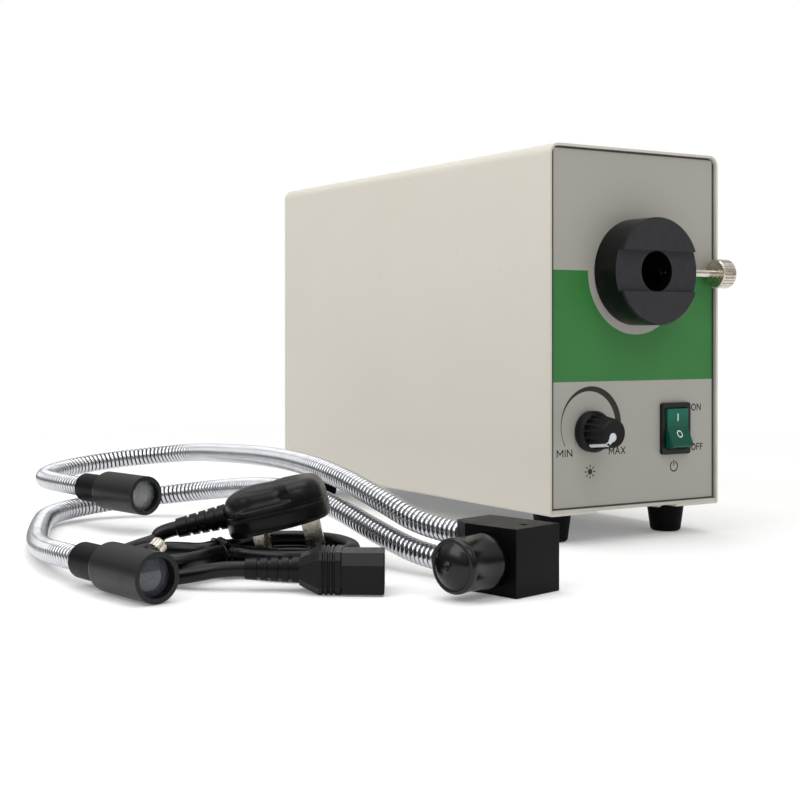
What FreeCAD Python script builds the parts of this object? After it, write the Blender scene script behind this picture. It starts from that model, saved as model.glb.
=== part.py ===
import FreeCAD, Part
import math
import os

import Sketcher
from FreeCAD import Placement, Rotation, Vector

# Cold-light source for fibre optic light guides: a sheet-metal case that holds an LED engine, its driver
# and its fan, a two-arm gooseneck light guide, and a mains lead.
# Frame: millimetres, +Z up, front panel facing -Y. The origin is on the table, under the middle of the case.

doc = FreeCAD.newDocument("cold_light_source")
sheet = doc.addObject("Spreadsheet::Sheet", "Sizes")
NORMAL = {"XY_Plane": 1, "XZ_Plane": -1, "YZ_Plane": 1}
pieces = []


class Size:
    """A number together with the sheet formula that gives it."""

    def __init__(self, number, text):
        self.number = number
        self.text = text

    def __float__(self):
        return self.number

    def __neg__(self):
        return Size(-self.number, f"(0 - {self.text})")

    def __add__(self, other):
        other = sized(other)
        return Size(self.number + other.number, f"({self.text} + {other.text})")

    def __radd__(self, other):
        return sized(other) + self

    def __sub__(self, other):
        other = sized(other)
        return Size(self.number - other.number, f"({self.text} - {other.text})")

    def __rsub__(self, other):
        return sized(other) - self

    def __mul__(self, other):
        other = sized(other)
        return Size(self.number * other.number, f"({self.text} * {other.text})")

    def __rmul__(self, other):
        return sized(other) * self

    def __truediv__(self, other):
        other = sized(other)
        return Size(self.number / other.number, f"({self.text} / {other.text})")


def sized(value):
    """A plain number as a Size, so that it can stand in a formula."""
    return value if isinstance(value, Size) else Size(float(value), f"({float(value)})")


def cell(alias, number, meaning):
    """Writes one driving dimension to the sheet and gives it back."""
    row = len(cell.aliases) + 1
    cell.aliases.append(alias)
    sheet.set(f"A{row}", meaning)
    sheet.set(f"B{row}", str(number))
    sheet.setAlias(f"B{row}", alias)
    sheet.recompute()
    return Size(float(sheet.get(alias)), f"Sizes.{alias}")


cell.aliases = []


def bind(thing, path, value):
    """Ties one property of an object to a formula of the sheet."""
    thing.setExpression(path, sized(value).text)


def origin_part(body, role):
    return next(item for item in body.Origin.OriginFeatures if item.Role == role)


def new_body(label):
    body = doc.addObject("PartDesign::Body", label)
    body.Label = label
    return body


def new_sketch(body, plane, at=0):
    """An empty sketch on one of the body's own planes, moved along that plane's axis to the coordinate at."""
    sketch = body.newObject("Sketcher::SketchObject", f"{body.Name}_sketch")
    sketch.AttachmentSupport = [(origin_part(body, plane), "")]
    sketch.MapMode = "FlatFace"
    bind(sketch, "AttachmentOffset.Base.z", sized(at) * NORMAL[plane])
    return sketch


def fix_point(sketch, geometry, end, across, up):
    for kind, axis, value in (("DistanceX", -2, across), ("DistanceY", -1, up)):
        if not isinstance(value, Size) and value == 0:
            sketch.addConstraint(Sketcher.Constraint("PointOnObject", geometry, end, axis))
            continue
        number = float(value)
        index = sketch.addConstraint(Sketcher.Constraint(kind, -1, 1, geometry, end, number))
        if isinstance(value, Size):
            bind(sketch, f"Constraints[{index}]", value)


def polygon(sketch, points):
    """A closed outline of straight lines, each corner held by its two coordinates."""
    first = sketch.GeometryCount
    corners = [Vector(float(across), float(up), 0) for across, up in points]
    for index, corner in enumerate(corners):
        following = corners[(index + 1) % len(corners)]
        sketch.addGeometry(Part.LineSegment(corner, following), False)
    for index, (across, up) in enumerate(points):
        following = first + (index + 1) % len(points)
        sketch.addConstraint(Sketcher.Constraint("Coincident", first + index, 2, following, 1))
        fix_point(sketch, first + index, 1, across, up)
    return sketch


def rectangle(sketch, left, right, low, high):
    return polygon(sketch, [(left, low), (right, low), (right, high), (left, high)])


def circle(sketch, across, up, diameter):
    middle = Vector(float(across), float(up), 0)
    index = sketch.addGeometry(Part.Circle(middle, Vector(0, 0, 1), float(diameter) / 2), False)
    fix_point(sketch, index, 3, across, up)
    held = sketch.addConstraint(Sketcher.Constraint("Diameter", index, float(diameter)))
    bind(sketch, f"Constraints[{held}]", diameter)
    return sketch


def extrude(body, kind, sketch, length, way):
    """A Pad or Pocket towards the positive (way 1) or negative (way -1) axis, or to both sides (way 0)."""
    before = body.Shape.Volume if kind == "Pocket" else 0
    step = body.newObject(f"PartDesign::{kind}", f"{body.Name}_{kind.lower()}")
    step.Profile = sketch
    along = way * NORMAL[sketch.AttachmentSupport[0][0].Role]
    bind(step, "Length", length)
    if way == 0:
        step.SideType = "Symmetric"
    else:
        step.Reversed = along > 0 if kind == "Pocket" else along < 0
    doc.recompute()
    if kind == "Pocket" and not body.Shape.Volume < before - 1e-6:
        raise ValueError(f"{body.Label}: a pocket cuts nothing")
    return step


def pad(body, sketch, length, way=1):
    return extrude(body, "Pad", sketch, length, way)


def pocket(body, sketch, length, way=1):
    return extrude(body, "Pocket", sketch, length, way)


def turn(body, sketch, axis="V_Axis"):
    """A full revolution of the sketch about one of its own axes."""
    step = body.newObject("PartDesign::Revolution", f"{body.Name}_turn")
    step.Profile = sketch
    step.ReferenceAxis = (sketch, [axis])
    step.Angle = 360
    doc.recompute()
    return step


def round_edges(body, wanted, radius, kind="Fillet"):
    """Fillets or chamfers the edges of the body's last step that wanted picks."""
    base = body.Tip
    names = [f"Edge{n}" for n, edge in enumerate(base.Shape.Edges, start=1) if wanted(edge)]
    step = body.newObject(f"PartDesign::{kind}", f"{body.Name}_{kind.lower()}")
    step.Base = (base, names)
    bind(step, "Radius" if kind == "Fillet" else "Size", radius)
    doc.recompute()
    return step


def around(body, step, axis, count):
    """Repeats a step evenly about one of the body's axes."""
    pattern = body.newObject("PartDesign::PolarPattern", f"{body.Name}_around")
    pattern.Originals = [step]
    pattern.Axis = (origin_part(body, axis), [""])
    pattern.Angle = 360
    bind(pattern, "Occurrences", count)
    body.Tip = pattern
    doc.recompute()
    return pattern


def in_line(body, step, axis, length, count):
    """Repeats a step evenly over a length along one of the body's axes."""
    pattern = body.newObject("PartDesign::LinearPattern", f"{body.Name}_row")
    pattern.Originals = [step]
    pattern.Direction = (origin_part(body, axis), [""])
    bind(pattern, "Length", length)
    bind(pattern, "Occurrences", count)
    body.Tip = pattern
    doc.recompute()
    return pattern


def place(body, x=0, y=0, z=0, angle=0, about=(0, 0, 1)):
    """Puts a finished body in its place and lists it as a piece."""
    body.Placement = Placement(Vector(0, 0, 0), Rotation(Vector(*about), float(angle)))
    for axis, value in (("x", x), ("y", y), ("z", z)):
        bind(body, f"Placement.Base.{axis}", value)
    doc.recompute()
    pieces.append(body)
    return body


def about_z(angle):
    return Rotation(Vector(0, 0, 1), float(angle))


def place_shape(label, shape, x=0, y=0, z=0, turned_by=about_z(0)):
    """Lists a shape made with Part's own functions as a piece."""
    feature = doc.addObject("Part::Feature", label)
    feature.Label = label
    feature.Shape = shape
    feature.Placement = Placement(Vector(float(x), float(y), float(z)), turned_by)
    pieces.append(feature)
    return feature


def copies(master, places, tip=0):
    """Copies of one body, each tipped about X by so many degrees and moved to its place x, y, z."""
    shapes = []
    for x, y, z in places:
        moved = master.Shape.copy()
        moved.rotate(Vector(0, 0, 0), Vector(1, 0, 0), tip)
        moved.translate(Vector(float(x), float(y), float(z)))
        shapes.append(moved)
    return shapes


def place_group(label, shapes):
    """Lists a piece that is a group of separate solids."""
    return place_shape(label, Part.makeCompound(shapes))


def along(edge, axis):
    """True for a straight edge that runs along one axis."""
    if not isinstance(edge.Curve, Part.Line):
        return False
    run = edge.Vertexes[-1].Point - edge.Vertexes[0].Point
    return abs(run.normalize().dot(Vector(*axis))) > 0.999


def corners(values):
    """The four corners of a rectangle about the origin."""
    across, deep = values
    return [(i * across, j * deep) for i in (-1, 1) for j in (-1, 1)]


# ---- Case -------------------------------------------------------------------------------------------------

case_width = cell("case_width", 111, "outside width of the cover")
case_height = cell("case_height", 180, "outside height of the cover, feet left out")
case_depth = cell("case_depth", 268, "depth of the cover")
foot_height = cell("foot_height", 15, "height of the rubber feet")
skin = cell("skin", 1.2, "sheet steel of the cover")
base_sheet = cell("base_sheet", 1.5, "sheet steel of the chassis base")
panel_sheet = cell("panel_sheet", 2, "front panel plate")
rear_sheet = cell("rear_sheet", 1.5, "rear panel sheet")
fit_gap = cell("fit_gap", 0.3, "play between panels and cover")
panel_recess = cell("panel_recess", 1.6, "how far the front panel sits behind the rim")
rear_recess = cell("rear_recess", 1.0, "how far the rear panel sits inside the rim")
socket_length = cell("socket_length", 18, "socket, from its face to the panel")
guard_wire = cell("guard_wire", 1.6, "wire of the fan guard")
m4_head_height = cell("m4_head_height", 2.8, "head height of an M4 screw")

half_width = case_width / 2
mid_y = (socket_length - panel_recess - guard_wire - m4_head_height + rear_recess) / 2
front_y = mid_y - case_depth / 2
rear_y = mid_y + case_depth / 2
panel_y = front_y + panel_recess
rear_face_y = rear_y - rear_recess
rear_inside_y = rear_face_y - rear_sheet
inside_z = foot_height + skin + base_sheet
inside_height = case_height - 2 * skin - base_sheet

# Feet stand under the cover's turned-in flanges. Their screws hold cover and base together.
foot_inset_x = cell("foot_inset_x", 17.5, "side of the case to a foot's axis")
foot_inset_y = cell("foot_inset_y", 20, "end of the case to a foot's axis")
foot_top = cell("foot_top", 19.4, "top diameter of a foot")
foot_bottom = cell("foot_bottom", 15.6, "bottom diameter of a foot")
foot_screw = cell("foot_screw", 4, "thread of the foot screws, M4")
screw_play = cell("screw_play", 0.4, "clearance hole over its screw")
cover_screw = cell("cover_screw", 3, "thread of the small screws, M3")
cover_flange = cell("cover_flange", 29, "width of the cover's turned-in bottom flanges")
corner_radius = cell("corner_radius", 5.5, "outer bend of the cover's top corners")
bottom_bend = cell("bottom_bend", 1.4, "outer bend of the cover's bottom corners")

foot_x = half_width - foot_inset_x
foot_y = case_depth / 2 - foot_inset_y
foot_hole = foot_screw + screw_play
small_hole = cover_screw + screw_play
cover_screw_inset = cell("cover_screw_inset", 48, "end of the case to a cover screw")
cover_screw_y = case_depth / 2 - cover_screw_inset

cover = new_body("cover")
flange_edge = half_width - cover_flange
inner_half = half_width - skin
inner_top = case_height - skin
cover_outline = [
    (-half_width, 0),
    (-half_width, case_height),
    (half_width, case_height),
    (half_width, 0),
    (flange_edge, 0),
    (flange_edge, skin),
    (inner_half, skin),
    (inner_half, inner_top),
    (-inner_half, inner_top),
    (-inner_half, skin),
    (-flange_edge, skin),
    (-flange_edge, 0),
]
pad(cover, polygon(new_sketch(cover, "XZ_Plane"), cover_outline), case_depth, way=0)


def at_corner(edge, x, z):
    """True for an edge along Y through the corner x, z or its mirror image."""
    middle = edge.CenterOfMass
    near = abs(abs(middle.x) - float(x)) < 1e-3 and abs(middle.z - float(z)) < 1e-3
    return near and along(edge, (0, 1, 0))


round_edges(cover, lambda edge: at_corner(edge, half_width, case_height), corner_radius)
round_edges(cover, lambda edge: at_corner(edge, inner_half, inner_top), corner_radius - skin)
round_edges(cover, lambda edge: at_corner(edge, half_width, 0), bottom_bend)
flange_holes = new_sketch(cover, "XY_Plane")
for x, y in corners((foot_x, foot_y)):
    circle(flange_holes, x, y, foot_hole)
for x, y in corners((foot_x, cover_screw_y)):
    circle(flange_holes, x, y, small_hole)
pocket(cover, flange_holes, 2 * skin, way=0)
place(cover, 0, mid_y, foot_height)

# Base tray: a flat sheet with two upturned sides, an intake louvre field and the fixing holes.
tray_wall = cell("tray_wall", 12, "height of the base's upturned sides")
wall_setback = cell("wall_setback", 16, "panel end of the base to its upturned sides")
slot_width = cell("slot_width", 3.2, "width of an intake slot")
slot_length = cell("slot_length", 38, "length of an intake slot")
slot_count = cell("slot_count", 9, "intake slots")
slot_row = cell("slot_row", 64, "length of the row of intake slots")
slot_start = cell("slot_start", 72, "middle of the case to the first intake slot")

board_width = cell("board_width", 76, "driver board, across")
board_length = cell("board_length", 96, "driver board, front to back")
board_inset = cell("board_inset", 5, "edge of the board to its screws")
board_y = cell("board_y", 36, "middle of the case to the middle of the board")
standoff_height = cell("standoff_height", 8, "standoffs under the board")
board_hole_x = board_width / 2 - board_inset
board_hole_y = board_length / 2 - board_inset

bracket_y = cell("bracket_y", 36, "rear panel side of the front panel to the engine bracket's leg")
bracket_width = cell("bracket_width", 50, "width of the engine bracket")
bracket_foot = cell("bracket_foot", 16, "foot of the engine bracket")
bracket_hole_x = bracket_width / 2 - 9

panel_lip = cell("panel_lip", 12, "folded foot of the panels")
lip_hole_x = cell("lip_hole_x", 22, "middle of the case to a panel screw")

chassis_base = new_body("chassis_base")
tray_half = inner_half - fit_gap
tray_sketch = rectangle(
    new_sketch(chassis_base, "XY_Plane"), -tray_half, tray_half, -case_depth / 2, case_depth / 2
)
pad(chassis_base, tray_sketch, base_sheet)
wall_end = case_depth / 2 - wall_setback
walls = new_sketch(chassis_base, "XY_Plane", base_sheet)
rectangle(walls, -tray_half, -tray_half + base_sheet, -wall_end, wall_end)
rectangle(walls, tray_half - base_sheet, tray_half, -wall_end, wall_end)
pad(chassis_base, walls, tray_wall - base_sheet)
slot_sketch = rectangle(
    new_sketch(chassis_base, "XY_Plane"),
    -slot_length / 2,
    slot_length / 2,
    -slot_start - slot_width / 2,
    -slot_start + slot_width / 2,
)
slot_step = pocket(chassis_base, slot_sketch, 3 * base_sheet, way=0)
in_line(chassis_base, slot_step, "Y_Axis", slot_row, slot_count)
front_lip_y = panel_recess + panel_sheet + panel_lip / 2 - case_depth / 2
rear_lip_y = case_depth / 2 - rear_recess - rear_sheet - panel_lip / 2
lip_screws = [(x, y) for x in (-lip_hole_x, lip_hole_x) for y in (front_lip_y, rear_lip_y)]
bracket_leg_y = panel_recess + panel_sheet + bracket_y - case_depth / 2
bracket_screw_y = bracket_leg_y + bracket_foot / 2
base_holes = new_sketch(chassis_base, "XY_Plane")
for x, y in corners((foot_x, foot_y)):
    circle(base_holes, x, y, foot_hole)
for x, y in corners((foot_x, cover_screw_y)):
    circle(base_holes, x, y, small_hole)
for x, y in corners((board_hole_x, board_hole_y)):
    circle(base_holes, x, y + board_y, small_hole)
for x, y in lip_screws:
    circle(base_holes, x, y, small_hole)
for x in (-bracket_hole_x, bracket_hole_x):
    circle(base_holes, x, bracket_screw_y, small_hole)
pocket(chassis_base, base_holes, 3 * base_sheet, way=0)
place(chassis_base, 0, mid_y, foot_height + skin)


def turned(label, points, plane="XY_Plane", axis="V_Axis"):
    """A body turned from its half outline: radius first, then the place along the axis."""
    body = new_body(label)
    turn(body, polygon(new_sketch(body, plane), points), axis)
    return body


foot_wall = cell("foot_wall", 4, "rubber under the head of a foot screw")
foot_recess = cell("foot_recess", 9.6, "counterbore of a foot")
foot_edge = cell("foot_edge", 1, "rounding of a foot's lower edge")
foot = turned(
    "foot",
    [
        (foot_hole / 2, foot_height),
        (foot_hole / 2, foot_height - foot_wall),
        (foot_recess / 2, foot_height - foot_wall),
        (foot_recess / 2, 0),
        (foot_bottom / 2 - foot_edge, 0),
        (foot_bottom / 2, foot_edge),
        (foot_top / 2, foot_height),
    ],
    plane="XZ_Plane",
)
foot_places = [(x, y + mid_y, 0) for x, y in corners((foot_x, foot_y))]
place_group("feet", copies(foot, foot_places))


def screw(label, thread, length, head, head_height):
    """A pan-head screw with its head down and its shank up, from z = 0 at the underside of the head."""
    body = turned(
        label,
        [
            (0, -head_height),
            (head / 2 - head_height / 3, -head_height),
            (head / 2, -head_height / 2),
            (head / 2, 0),
            (thread / 2, 0),
            (thread / 2, length),
            (0, length),
        ],
        plane="XZ_Plane",
    )
    recess = rectangle(new_sketch(body, "XY_Plane", -head_height), -head / 3, head / 3, -0.4, 0.4)
    pocket(body, recess, head_height / 2)
    return body


def hex_nut(label, thread, flats, thick):
    """A hexagon nut that sits on z = 0."""
    body = new_body(label)
    across = flats / (2 * math.cos(math.pi / 6))
    points = [
        (across * math.cos(n * math.pi / 3), across * math.sin(n * math.pi / 3)) for n in range(6)
    ]
    outline = polygon(new_sketch(body, "XY_Plane"), points)
    circle(outline, 0, 0, thread)
    pad(body, outline, thick)
    return body


screw_reach = cell("screw_reach", 4.5, "thread that a screw shows past its sheets")
nut_play = cell("nut_play", 0.05, "play between a thread and its nut")
m4_head = cell("m4_head", 8, "head of an M4 screw")
m4_flats = cell("m4_flats", 7, "width over flats of an M4 nut")
m4_nut = cell("m4_nut", 3.2, "height of an M4 nut")
m3_head = cell("m3_head", 5.6, "head of an M3 screw")
m3_head_height = cell("m3_head_height", 2, "head height of an M3 screw")
m3_flats = cell("m3_flats", 5.5, "width over flats of an M3 nut")
m3_nut = cell("m3_nut", 2.4, "height of an M3 nut")

foot_seat = foot_height - foot_wall
foot_screw_body = screw(
    "foot_screw", foot_screw, foot_wall + skin + base_sheet + screw_reach, m4_head, m4_head_height
)
foot_screws = copies(foot_screw_body, [(x, y, foot_seat) for x, y, z in foot_places])
place_group("foot_screws", foot_screws)
foot_nut = hex_nut("foot_nut", foot_screw + nut_play, m4_flats, m4_nut)
foot_nuts = copies(foot_nut, [(x, y, inside_z) for x, y, z in foot_places])
small_length = cell("small_length", 8, "length of the M3 screws")
small_screw = screw("small_screw", cover_screw, small_length, m3_head, m3_head_height)
small_nut = hex_nut("small_nut", cover_screw + nut_play, m3_flats, m3_nut)
cover_places = [(x, y + mid_y, foot_height) for x, y in corners((foot_x, cover_screw_y))]
panel_places = [(x, y + mid_y, foot_height + skin) for x, y in lip_screws]
bracket_places = [
    (x, bracket_screw_y + mid_y, foot_height + skin) for x in (-bracket_hole_x, bracket_hole_x)
]
place_group("case_screws", copies(small_screw, cover_places + panel_places + bracket_places))
cover_nuts = copies(small_nut, [(x, y, inside_z) for x, y, z in cover_places])

# ---- Panels -----------------------------------------------------------------------------------------------

panel_half = inner_half - fit_gap
panel_height = inside_height - fit_gap
panel_corner = corner_radius - skin - fit_gap

axis_z = cell("axis_z", 133.6, "height of the optical axis over the table")
knob_x = cell("knob_x", -29.2, "knob, left of the middle")
knob_z = cell("knob_z", 55.2, "height of the knob's axis over the table")
switch_x = cell("switch_x", 26.3, "switch, right of the middle")
switch_z = cell("switch_z", 54.8, "height of the switch over the table")
spigot_diameter = cell("spigot_diameter", 32, "socket's threaded spigot")
bush_diameter = cell("bush_diameter", 7, "threaded bush of the potentiometer")
hole_play = cell("hole_play", 0.4, "panel holes over what passes through")
bezel_width = cell("bezel_width", 19.3, "rocker switch bezel, across")
bezel_height = cell("bezel_height", 26.2, "rocker switch bezel, upright")
bezel_lip = cell("bezel_lip", 1.6, "bezel over the switch body, each side")
switch_width = bezel_width - 2 * bezel_lip
switch_height = bezel_height - 2 * bezel_lip


def panel_body(label, thick, way):
    """A panel plate with rounded top corners and a folded foot. Its outer face is at y = 0."""
    body = new_body(label)
    plate = rectangle(new_sketch(body, "XZ_Plane"), -panel_half, panel_half, 0, panel_height)
    pad(body, plate, thick, way)
    round_edges(
        body,
        lambda edge: along(edge, (0, 1, 0)) and edge.CenterOfMass.z > float(panel_height) - 1,
        panel_corner,
    )
    fold = new_sketch(body, "XY_Plane")
    lip_half = tray_half - base_sheet - 2 * fit_gap
    ends = (way * thick, way * (thick + panel_lip))
    rectangle(fold, -lip_half, lip_half, *(ends if way > 0 else ends[::-1]))
    pad(body, fold, thick)
    lip_holes = new_sketch(body, "XY_Plane")
    for x in (-lip_hole_x, lip_hole_x):
        circle(lip_holes, x, way * (thick + panel_lip / 2), small_hole)
    pocket(body, lip_holes, 3 * thick, way=0)
    return body


front_panel = panel_body("front_panel", panel_sheet, 1)
front_cuts = new_sketch(front_panel, "XZ_Plane")
circle(front_cuts, 0, axis_z - inside_z, spigot_diameter + hole_play)
circle(front_cuts, knob_x, knob_z - inside_z, bush_diameter + hole_play)
rectangle(
    front_cuts,
    switch_x - (switch_width + hole_play) / 2,
    switch_x + (switch_width + hole_play) / 2,
    switch_z - inside_z - (switch_height + hole_play) / 2,
    switch_z - inside_z + (switch_height + hole_play) / 2,
)
pocket(front_panel, front_cuts, 3 * panel_sheet, way=0)
place(front_panel, 0, panel_y, inside_z)

fan_size = cell("fan_size", 60, "side of the fan frame")
fan_depth = cell("fan_depth", 20, "depth of the fan frame")
fan_pitch = cell("fan_pitch", 50, "pitch of the fan screws")
fan_bore = cell("fan_bore", 57, "bore of the fan frame")
inlet_width = cell("inlet_width", 27, "mains inlet body, across")
inlet_height = cell("inlet_height", 32, "mains inlet body, upright")
inlet_x = cell("inlet_x", 16, "mains inlet, sideways from the middle")
inlet_z = cell("inlet_z", 56, "height of the mains inlet over the table")
inlet_pitch = cell("inlet_pitch", 40, "pitch of the mains inlet screws")
fan_hole = foot_screw + screw_play

rear_panel = panel_body("rear_panel", rear_sheet, -1)
rear_cuts = new_sketch(rear_panel, "XZ_Plane")
circle(rear_cuts, 0, axis_z - inside_z, fan_bore)
for x, z in corners((fan_pitch / 2, fan_pitch / 2)):
    circle(rear_cuts, x, z + axis_z - inside_z, fan_hole)
inlet_half = (inlet_width + hole_play) / 2
rectangle(
    rear_cuts,
    inlet_x - inlet_half,
    inlet_x + inlet_half,
    inlet_z - inside_z - (inlet_height + hole_play) / 2,
    inlet_z - inside_z + (inlet_height + hole_play) / 2,
)
for side in (-1, 1):
    circle(rear_cuts, inlet_x + side * inlet_pitch / 2, inlet_z - inside_z, small_hole)
pocket(rear_panel, rear_cuts, 3 * rear_sheet, way=0)
place(rear_panel, 0, rear_face_y, inside_z)

# ---- Light guide socket and its clamp ---------------------------------------------------------------------

socket_diameter = cell("socket_diameter", 53, "outside of the socket")
socket_bore = cell("socket_bore", 20.1, "bore of the socket")
socket_slot = cell("socket_slot", 2.5, "depth of the slot across the socket's face")
spigot_length = cell("spigot_length", 14, "spigot, from the panel's face")
socket_edge = cell("socket_edge", 0.8, "chamfer of the socket's front edge")
clamp_y = cell("clamp_y", 9, "clamp screw, in front of the panel")
clamp_thread = cell("clamp_thread", 3.9, "clamp screw, M4")
clamp_play = cell("clamp_play", 0.1, "clamp screw in its tapped hole")
clamp_shown = cell("clamp_shown", 19, "clamp screw shank outside the socket")
clamp_clear = cell("clamp_clear", 0.5, "tip of the clamp screw outside the bore")
clamp_head = cell("clamp_head", 14.8, "knurled head of the clamp screw")
clamp_head_length = cell("clamp_head_length", 8.8, "length of the knurled head")
clamp_grip = cell("clamp_grip", 6, "shank inside the knurled head")
knurl_count = cell("knurl_count", 30, "grooves of the knurl")
knurl_depth = cell("knurl_depth", 0.5, "depth of the knurl")

guide_socket = turned(
    "guide_socket",
    [
        (socket_bore / 2, -socket_length),
        (socket_diameter / 2 - socket_edge, -socket_length),
        (socket_diameter / 2, -socket_length + socket_edge),
        (socket_diameter / 2, 0),
        (spigot_diameter / 2, 0),
        (spigot_diameter / 2, spigot_length),
        (socket_bore / 2, spigot_length),
    ],
)
face_slot = rectangle(
    new_sketch(guide_socket, "YZ_Plane"),
    -socket_length - 1,
    -socket_length + socket_slot,
    -socket_bore / 2,
    socket_bore / 2,
)
pocket(guide_socket, face_slot, socket_diameter + 2, way=0)
clamp_hole = circle(new_sketch(guide_socket, "YZ_Plane"), -clamp_y, 0, clamp_thread + clamp_play)
pocket(guide_socket, clamp_hole, socket_diameter, way=1)
place(guide_socket, 0, panel_y, axis_z)

nut_flange = cell("nut_flange", 44, "outside of the socket's ring nut")
nut_thick = cell("nut_thick", 6, "thickness of the ring nut")
socket_nut = turned(
    "socket_nut",
    [
        (spigot_diameter / 2 + nut_play, 0),
        (nut_flange / 2, 0),
        (nut_flange / 2, nut_thick),
        (spigot_diameter / 2 + nut_play, nut_thick),
    ],
)
spanner = rectangle(
    new_sketch(socket_nut, "XZ_Plane"), -2, 2, nut_flange / 2 - 3, nut_flange / 2 + 1
)
around(socket_nut, pocket(socket_nut, spanner, nut_thick, way=1), "Y_Axis", 4)
place(socket_nut, 0, panel_y + panel_sheet, axis_z)

tip_x = socket_bore / 2 + clamp_clear
head_x = socket_diameter / 2 + clamp_shown
clamp_length = head_x - tip_x + clamp_grip
clamp_screw = turned(
    "clamp_screw",
    [
        (0, 0),
        (0.6 * clamp_thread / 2, 0),
        (clamp_thread / 2, 0.4 * clamp_thread),
        (clamp_thread / 2, clamp_length),
        (0, clamp_length),
    ],
)
clamp_screw.Placement = Placement(Vector(0, 0, 0), Rotation(Vector(0, 0, 1), -90))
for axis, value in (("x", tip_x), ("y", panel_y - clamp_y), ("z", axis_z)):
    bind(clamp_screw, f"Placement.Base.{axis}", value)
pieces.append(clamp_screw)


def knurled(label, diameter, length, bore, bore_depth, grooves, depth):
    """A knurled head turned about Y from y = 0, with a blind bore for its shank."""
    edge = diameter * 0.05
    body = turned(
        label,
        [
            (bore / 2, 0),
            (diameter / 2 - edge, 0),
            (diameter / 2, edge),
            (diameter / 2, length - edge),
            (diameter / 2 - edge, length),
            (0, length),
            (0, bore_depth),
            (bore / 2, bore_depth),
        ],
    )
    groove = polygon(
        new_sketch(body, "XZ_Plane"),
        [(-depth, diameter / 2 + 0.1), (0, diameter / 2 - depth), (depth, diameter / 2 + 0.1)],
    )
    around(body, pocket(body, groove, length, way=1), "Y_Axis", grooves)
    return body


clamp_knob = knurled(
    "clamp_knob",
    clamp_head,
    clamp_head_length,
    clamp_thread + clamp_play,
    clamp_grip + clamp_play,
    knurl_count,
    knurl_depth,
)
place(clamp_knob, head_x, panel_y - clamp_y, axis_z, angle=-90)

# ---- Intensity control ------------------------------------------------------------------------------------

knob_skirt = cell("knob_skirt", 20.2, "skirt of the knob")
knob_body = cell("knob_body", 17.4, "fluted body of the knob, at the skirt")
knob_top = cell("knob_top", 14, "top of the knob")
knob_height = cell("knob_height", 17.6, "height of the knob")
skirt_height = cell("skirt_height", 4.2, "height of the skirt")
knob_lift = cell("knob_lift", 0.6, "gap between knob and panel")
knob_hollow = cell("knob_hollow", 13.4, "hollow under the knob, over the nut")
hollow_depth = cell("hollow_depth", 5.2, "depth of that hollow")
flute_count = cell("flute_count", 16, "flutes of the knob")
shaft_diameter = cell("shaft_diameter", 6, "potentiometer shaft")
shaft_play = cell("shaft_play", 0.1, "shaft in its bush and bore")
pointer_width = cell("pointer_width", 1.7, "pointer line of the knob")
pointer_depth = cell("pointer_depth", 0.8, "how deep the pointer is let in")
knob_rest = cell("knob_rest", 40, "pointer at rest, left of straight down, degrees")

intensity_knob = turned(
    "intensity_knob",
    [
        (0, -knob_height),
        (knob_top / 2 - 1, -knob_height),
        (knob_top / 2, 1 - knob_height),
        (knob_body / 2, -skirt_height - 1),
        (knob_skirt / 2 - 0.6, -skirt_height),
        (knob_skirt / 2, -skirt_height + 0.6),
        (knob_skirt / 2, 0),
        (knob_hollow / 2, 0),
        (knob_hollow / 2, -hollow_depth),
        (0, -hollow_depth),
    ],
)
flute = circle(
    new_sketch(intensity_knob, "XZ_Plane", -skirt_height - 0.8), 0, knob_body / 2 - 0.3, 2.4
)
flute_step = pocket(intensity_knob, flute, knob_height, way=-1)
around(intensity_knob, flute_step, "Y_Axis", flute_count)
shaft_reach = cell("shaft_reach", 9, "shaft inside the knob, past the hollow")
shaft_hole = circle(
    new_sketch(intensity_knob, "XZ_Plane", -hollow_depth), 0, 0, shaft_diameter + shaft_play
)
pocket(intensity_knob, shaft_hole, shaft_reach, way=-1)
pointer_slot = rectangle(
    new_sketch(intensity_knob, "XZ_Plane", -knob_height),
    -pointer_width / 2,
    pointer_width / 2,
    -knob_top / 2 - 1,
    -1.5,
)
pocket(intensity_knob, pointer_slot, pointer_depth, way=1)
knob_axis = (0, 1, 0)
place(intensity_knob, knob_x, panel_y - knob_lift, knob_z, knob_rest, knob_axis)

knob_pointer = new_body("knob_pointer")
pointer_bar = rectangle(
    new_sketch(knob_pointer, "XZ_Plane", -knob_height),
    -pointer_width / 2,
    pointer_width / 2,
    -knob_top / 2 + 0.6,
    -1.5,
)
pad(knob_pointer, pointer_bar, pointer_depth, way=1)
place(knob_pointer, knob_x, panel_y - knob_lift, knob_z, knob_rest, knob_axis)

bush_length = cell("bush_length", 7, "bush, from the potentiometer's face")
pot_diameter = cell("pot_diameter", 16.5, "potentiometer can")
pot_depth = cell("pot_depth", 9, "depth of the can")
potentiometer = turned(
    "potentiometer",
    [
        ((shaft_diameter + shaft_play) / 2, -bush_length),
        (bush_diameter / 2, -bush_length),
        (bush_diameter / 2, 0),
        (pot_diameter / 2, 0),
        (pot_diameter / 2, pot_depth),
        (0, pot_depth),
        (0, 2),
        ((shaft_diameter + shaft_play) / 2, 2),
    ],
)
tags = new_sketch(potentiometer, "XY_Plane", pot_diameter / 2 - 1)
for x in (-5, 0, 5):
    rectangle(tags, x - 0.8, x + 0.8, 3, 4)
pad(potentiometer, tags, 7)
place(potentiometer, knob_x, panel_y + panel_sheet, knob_z)

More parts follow.
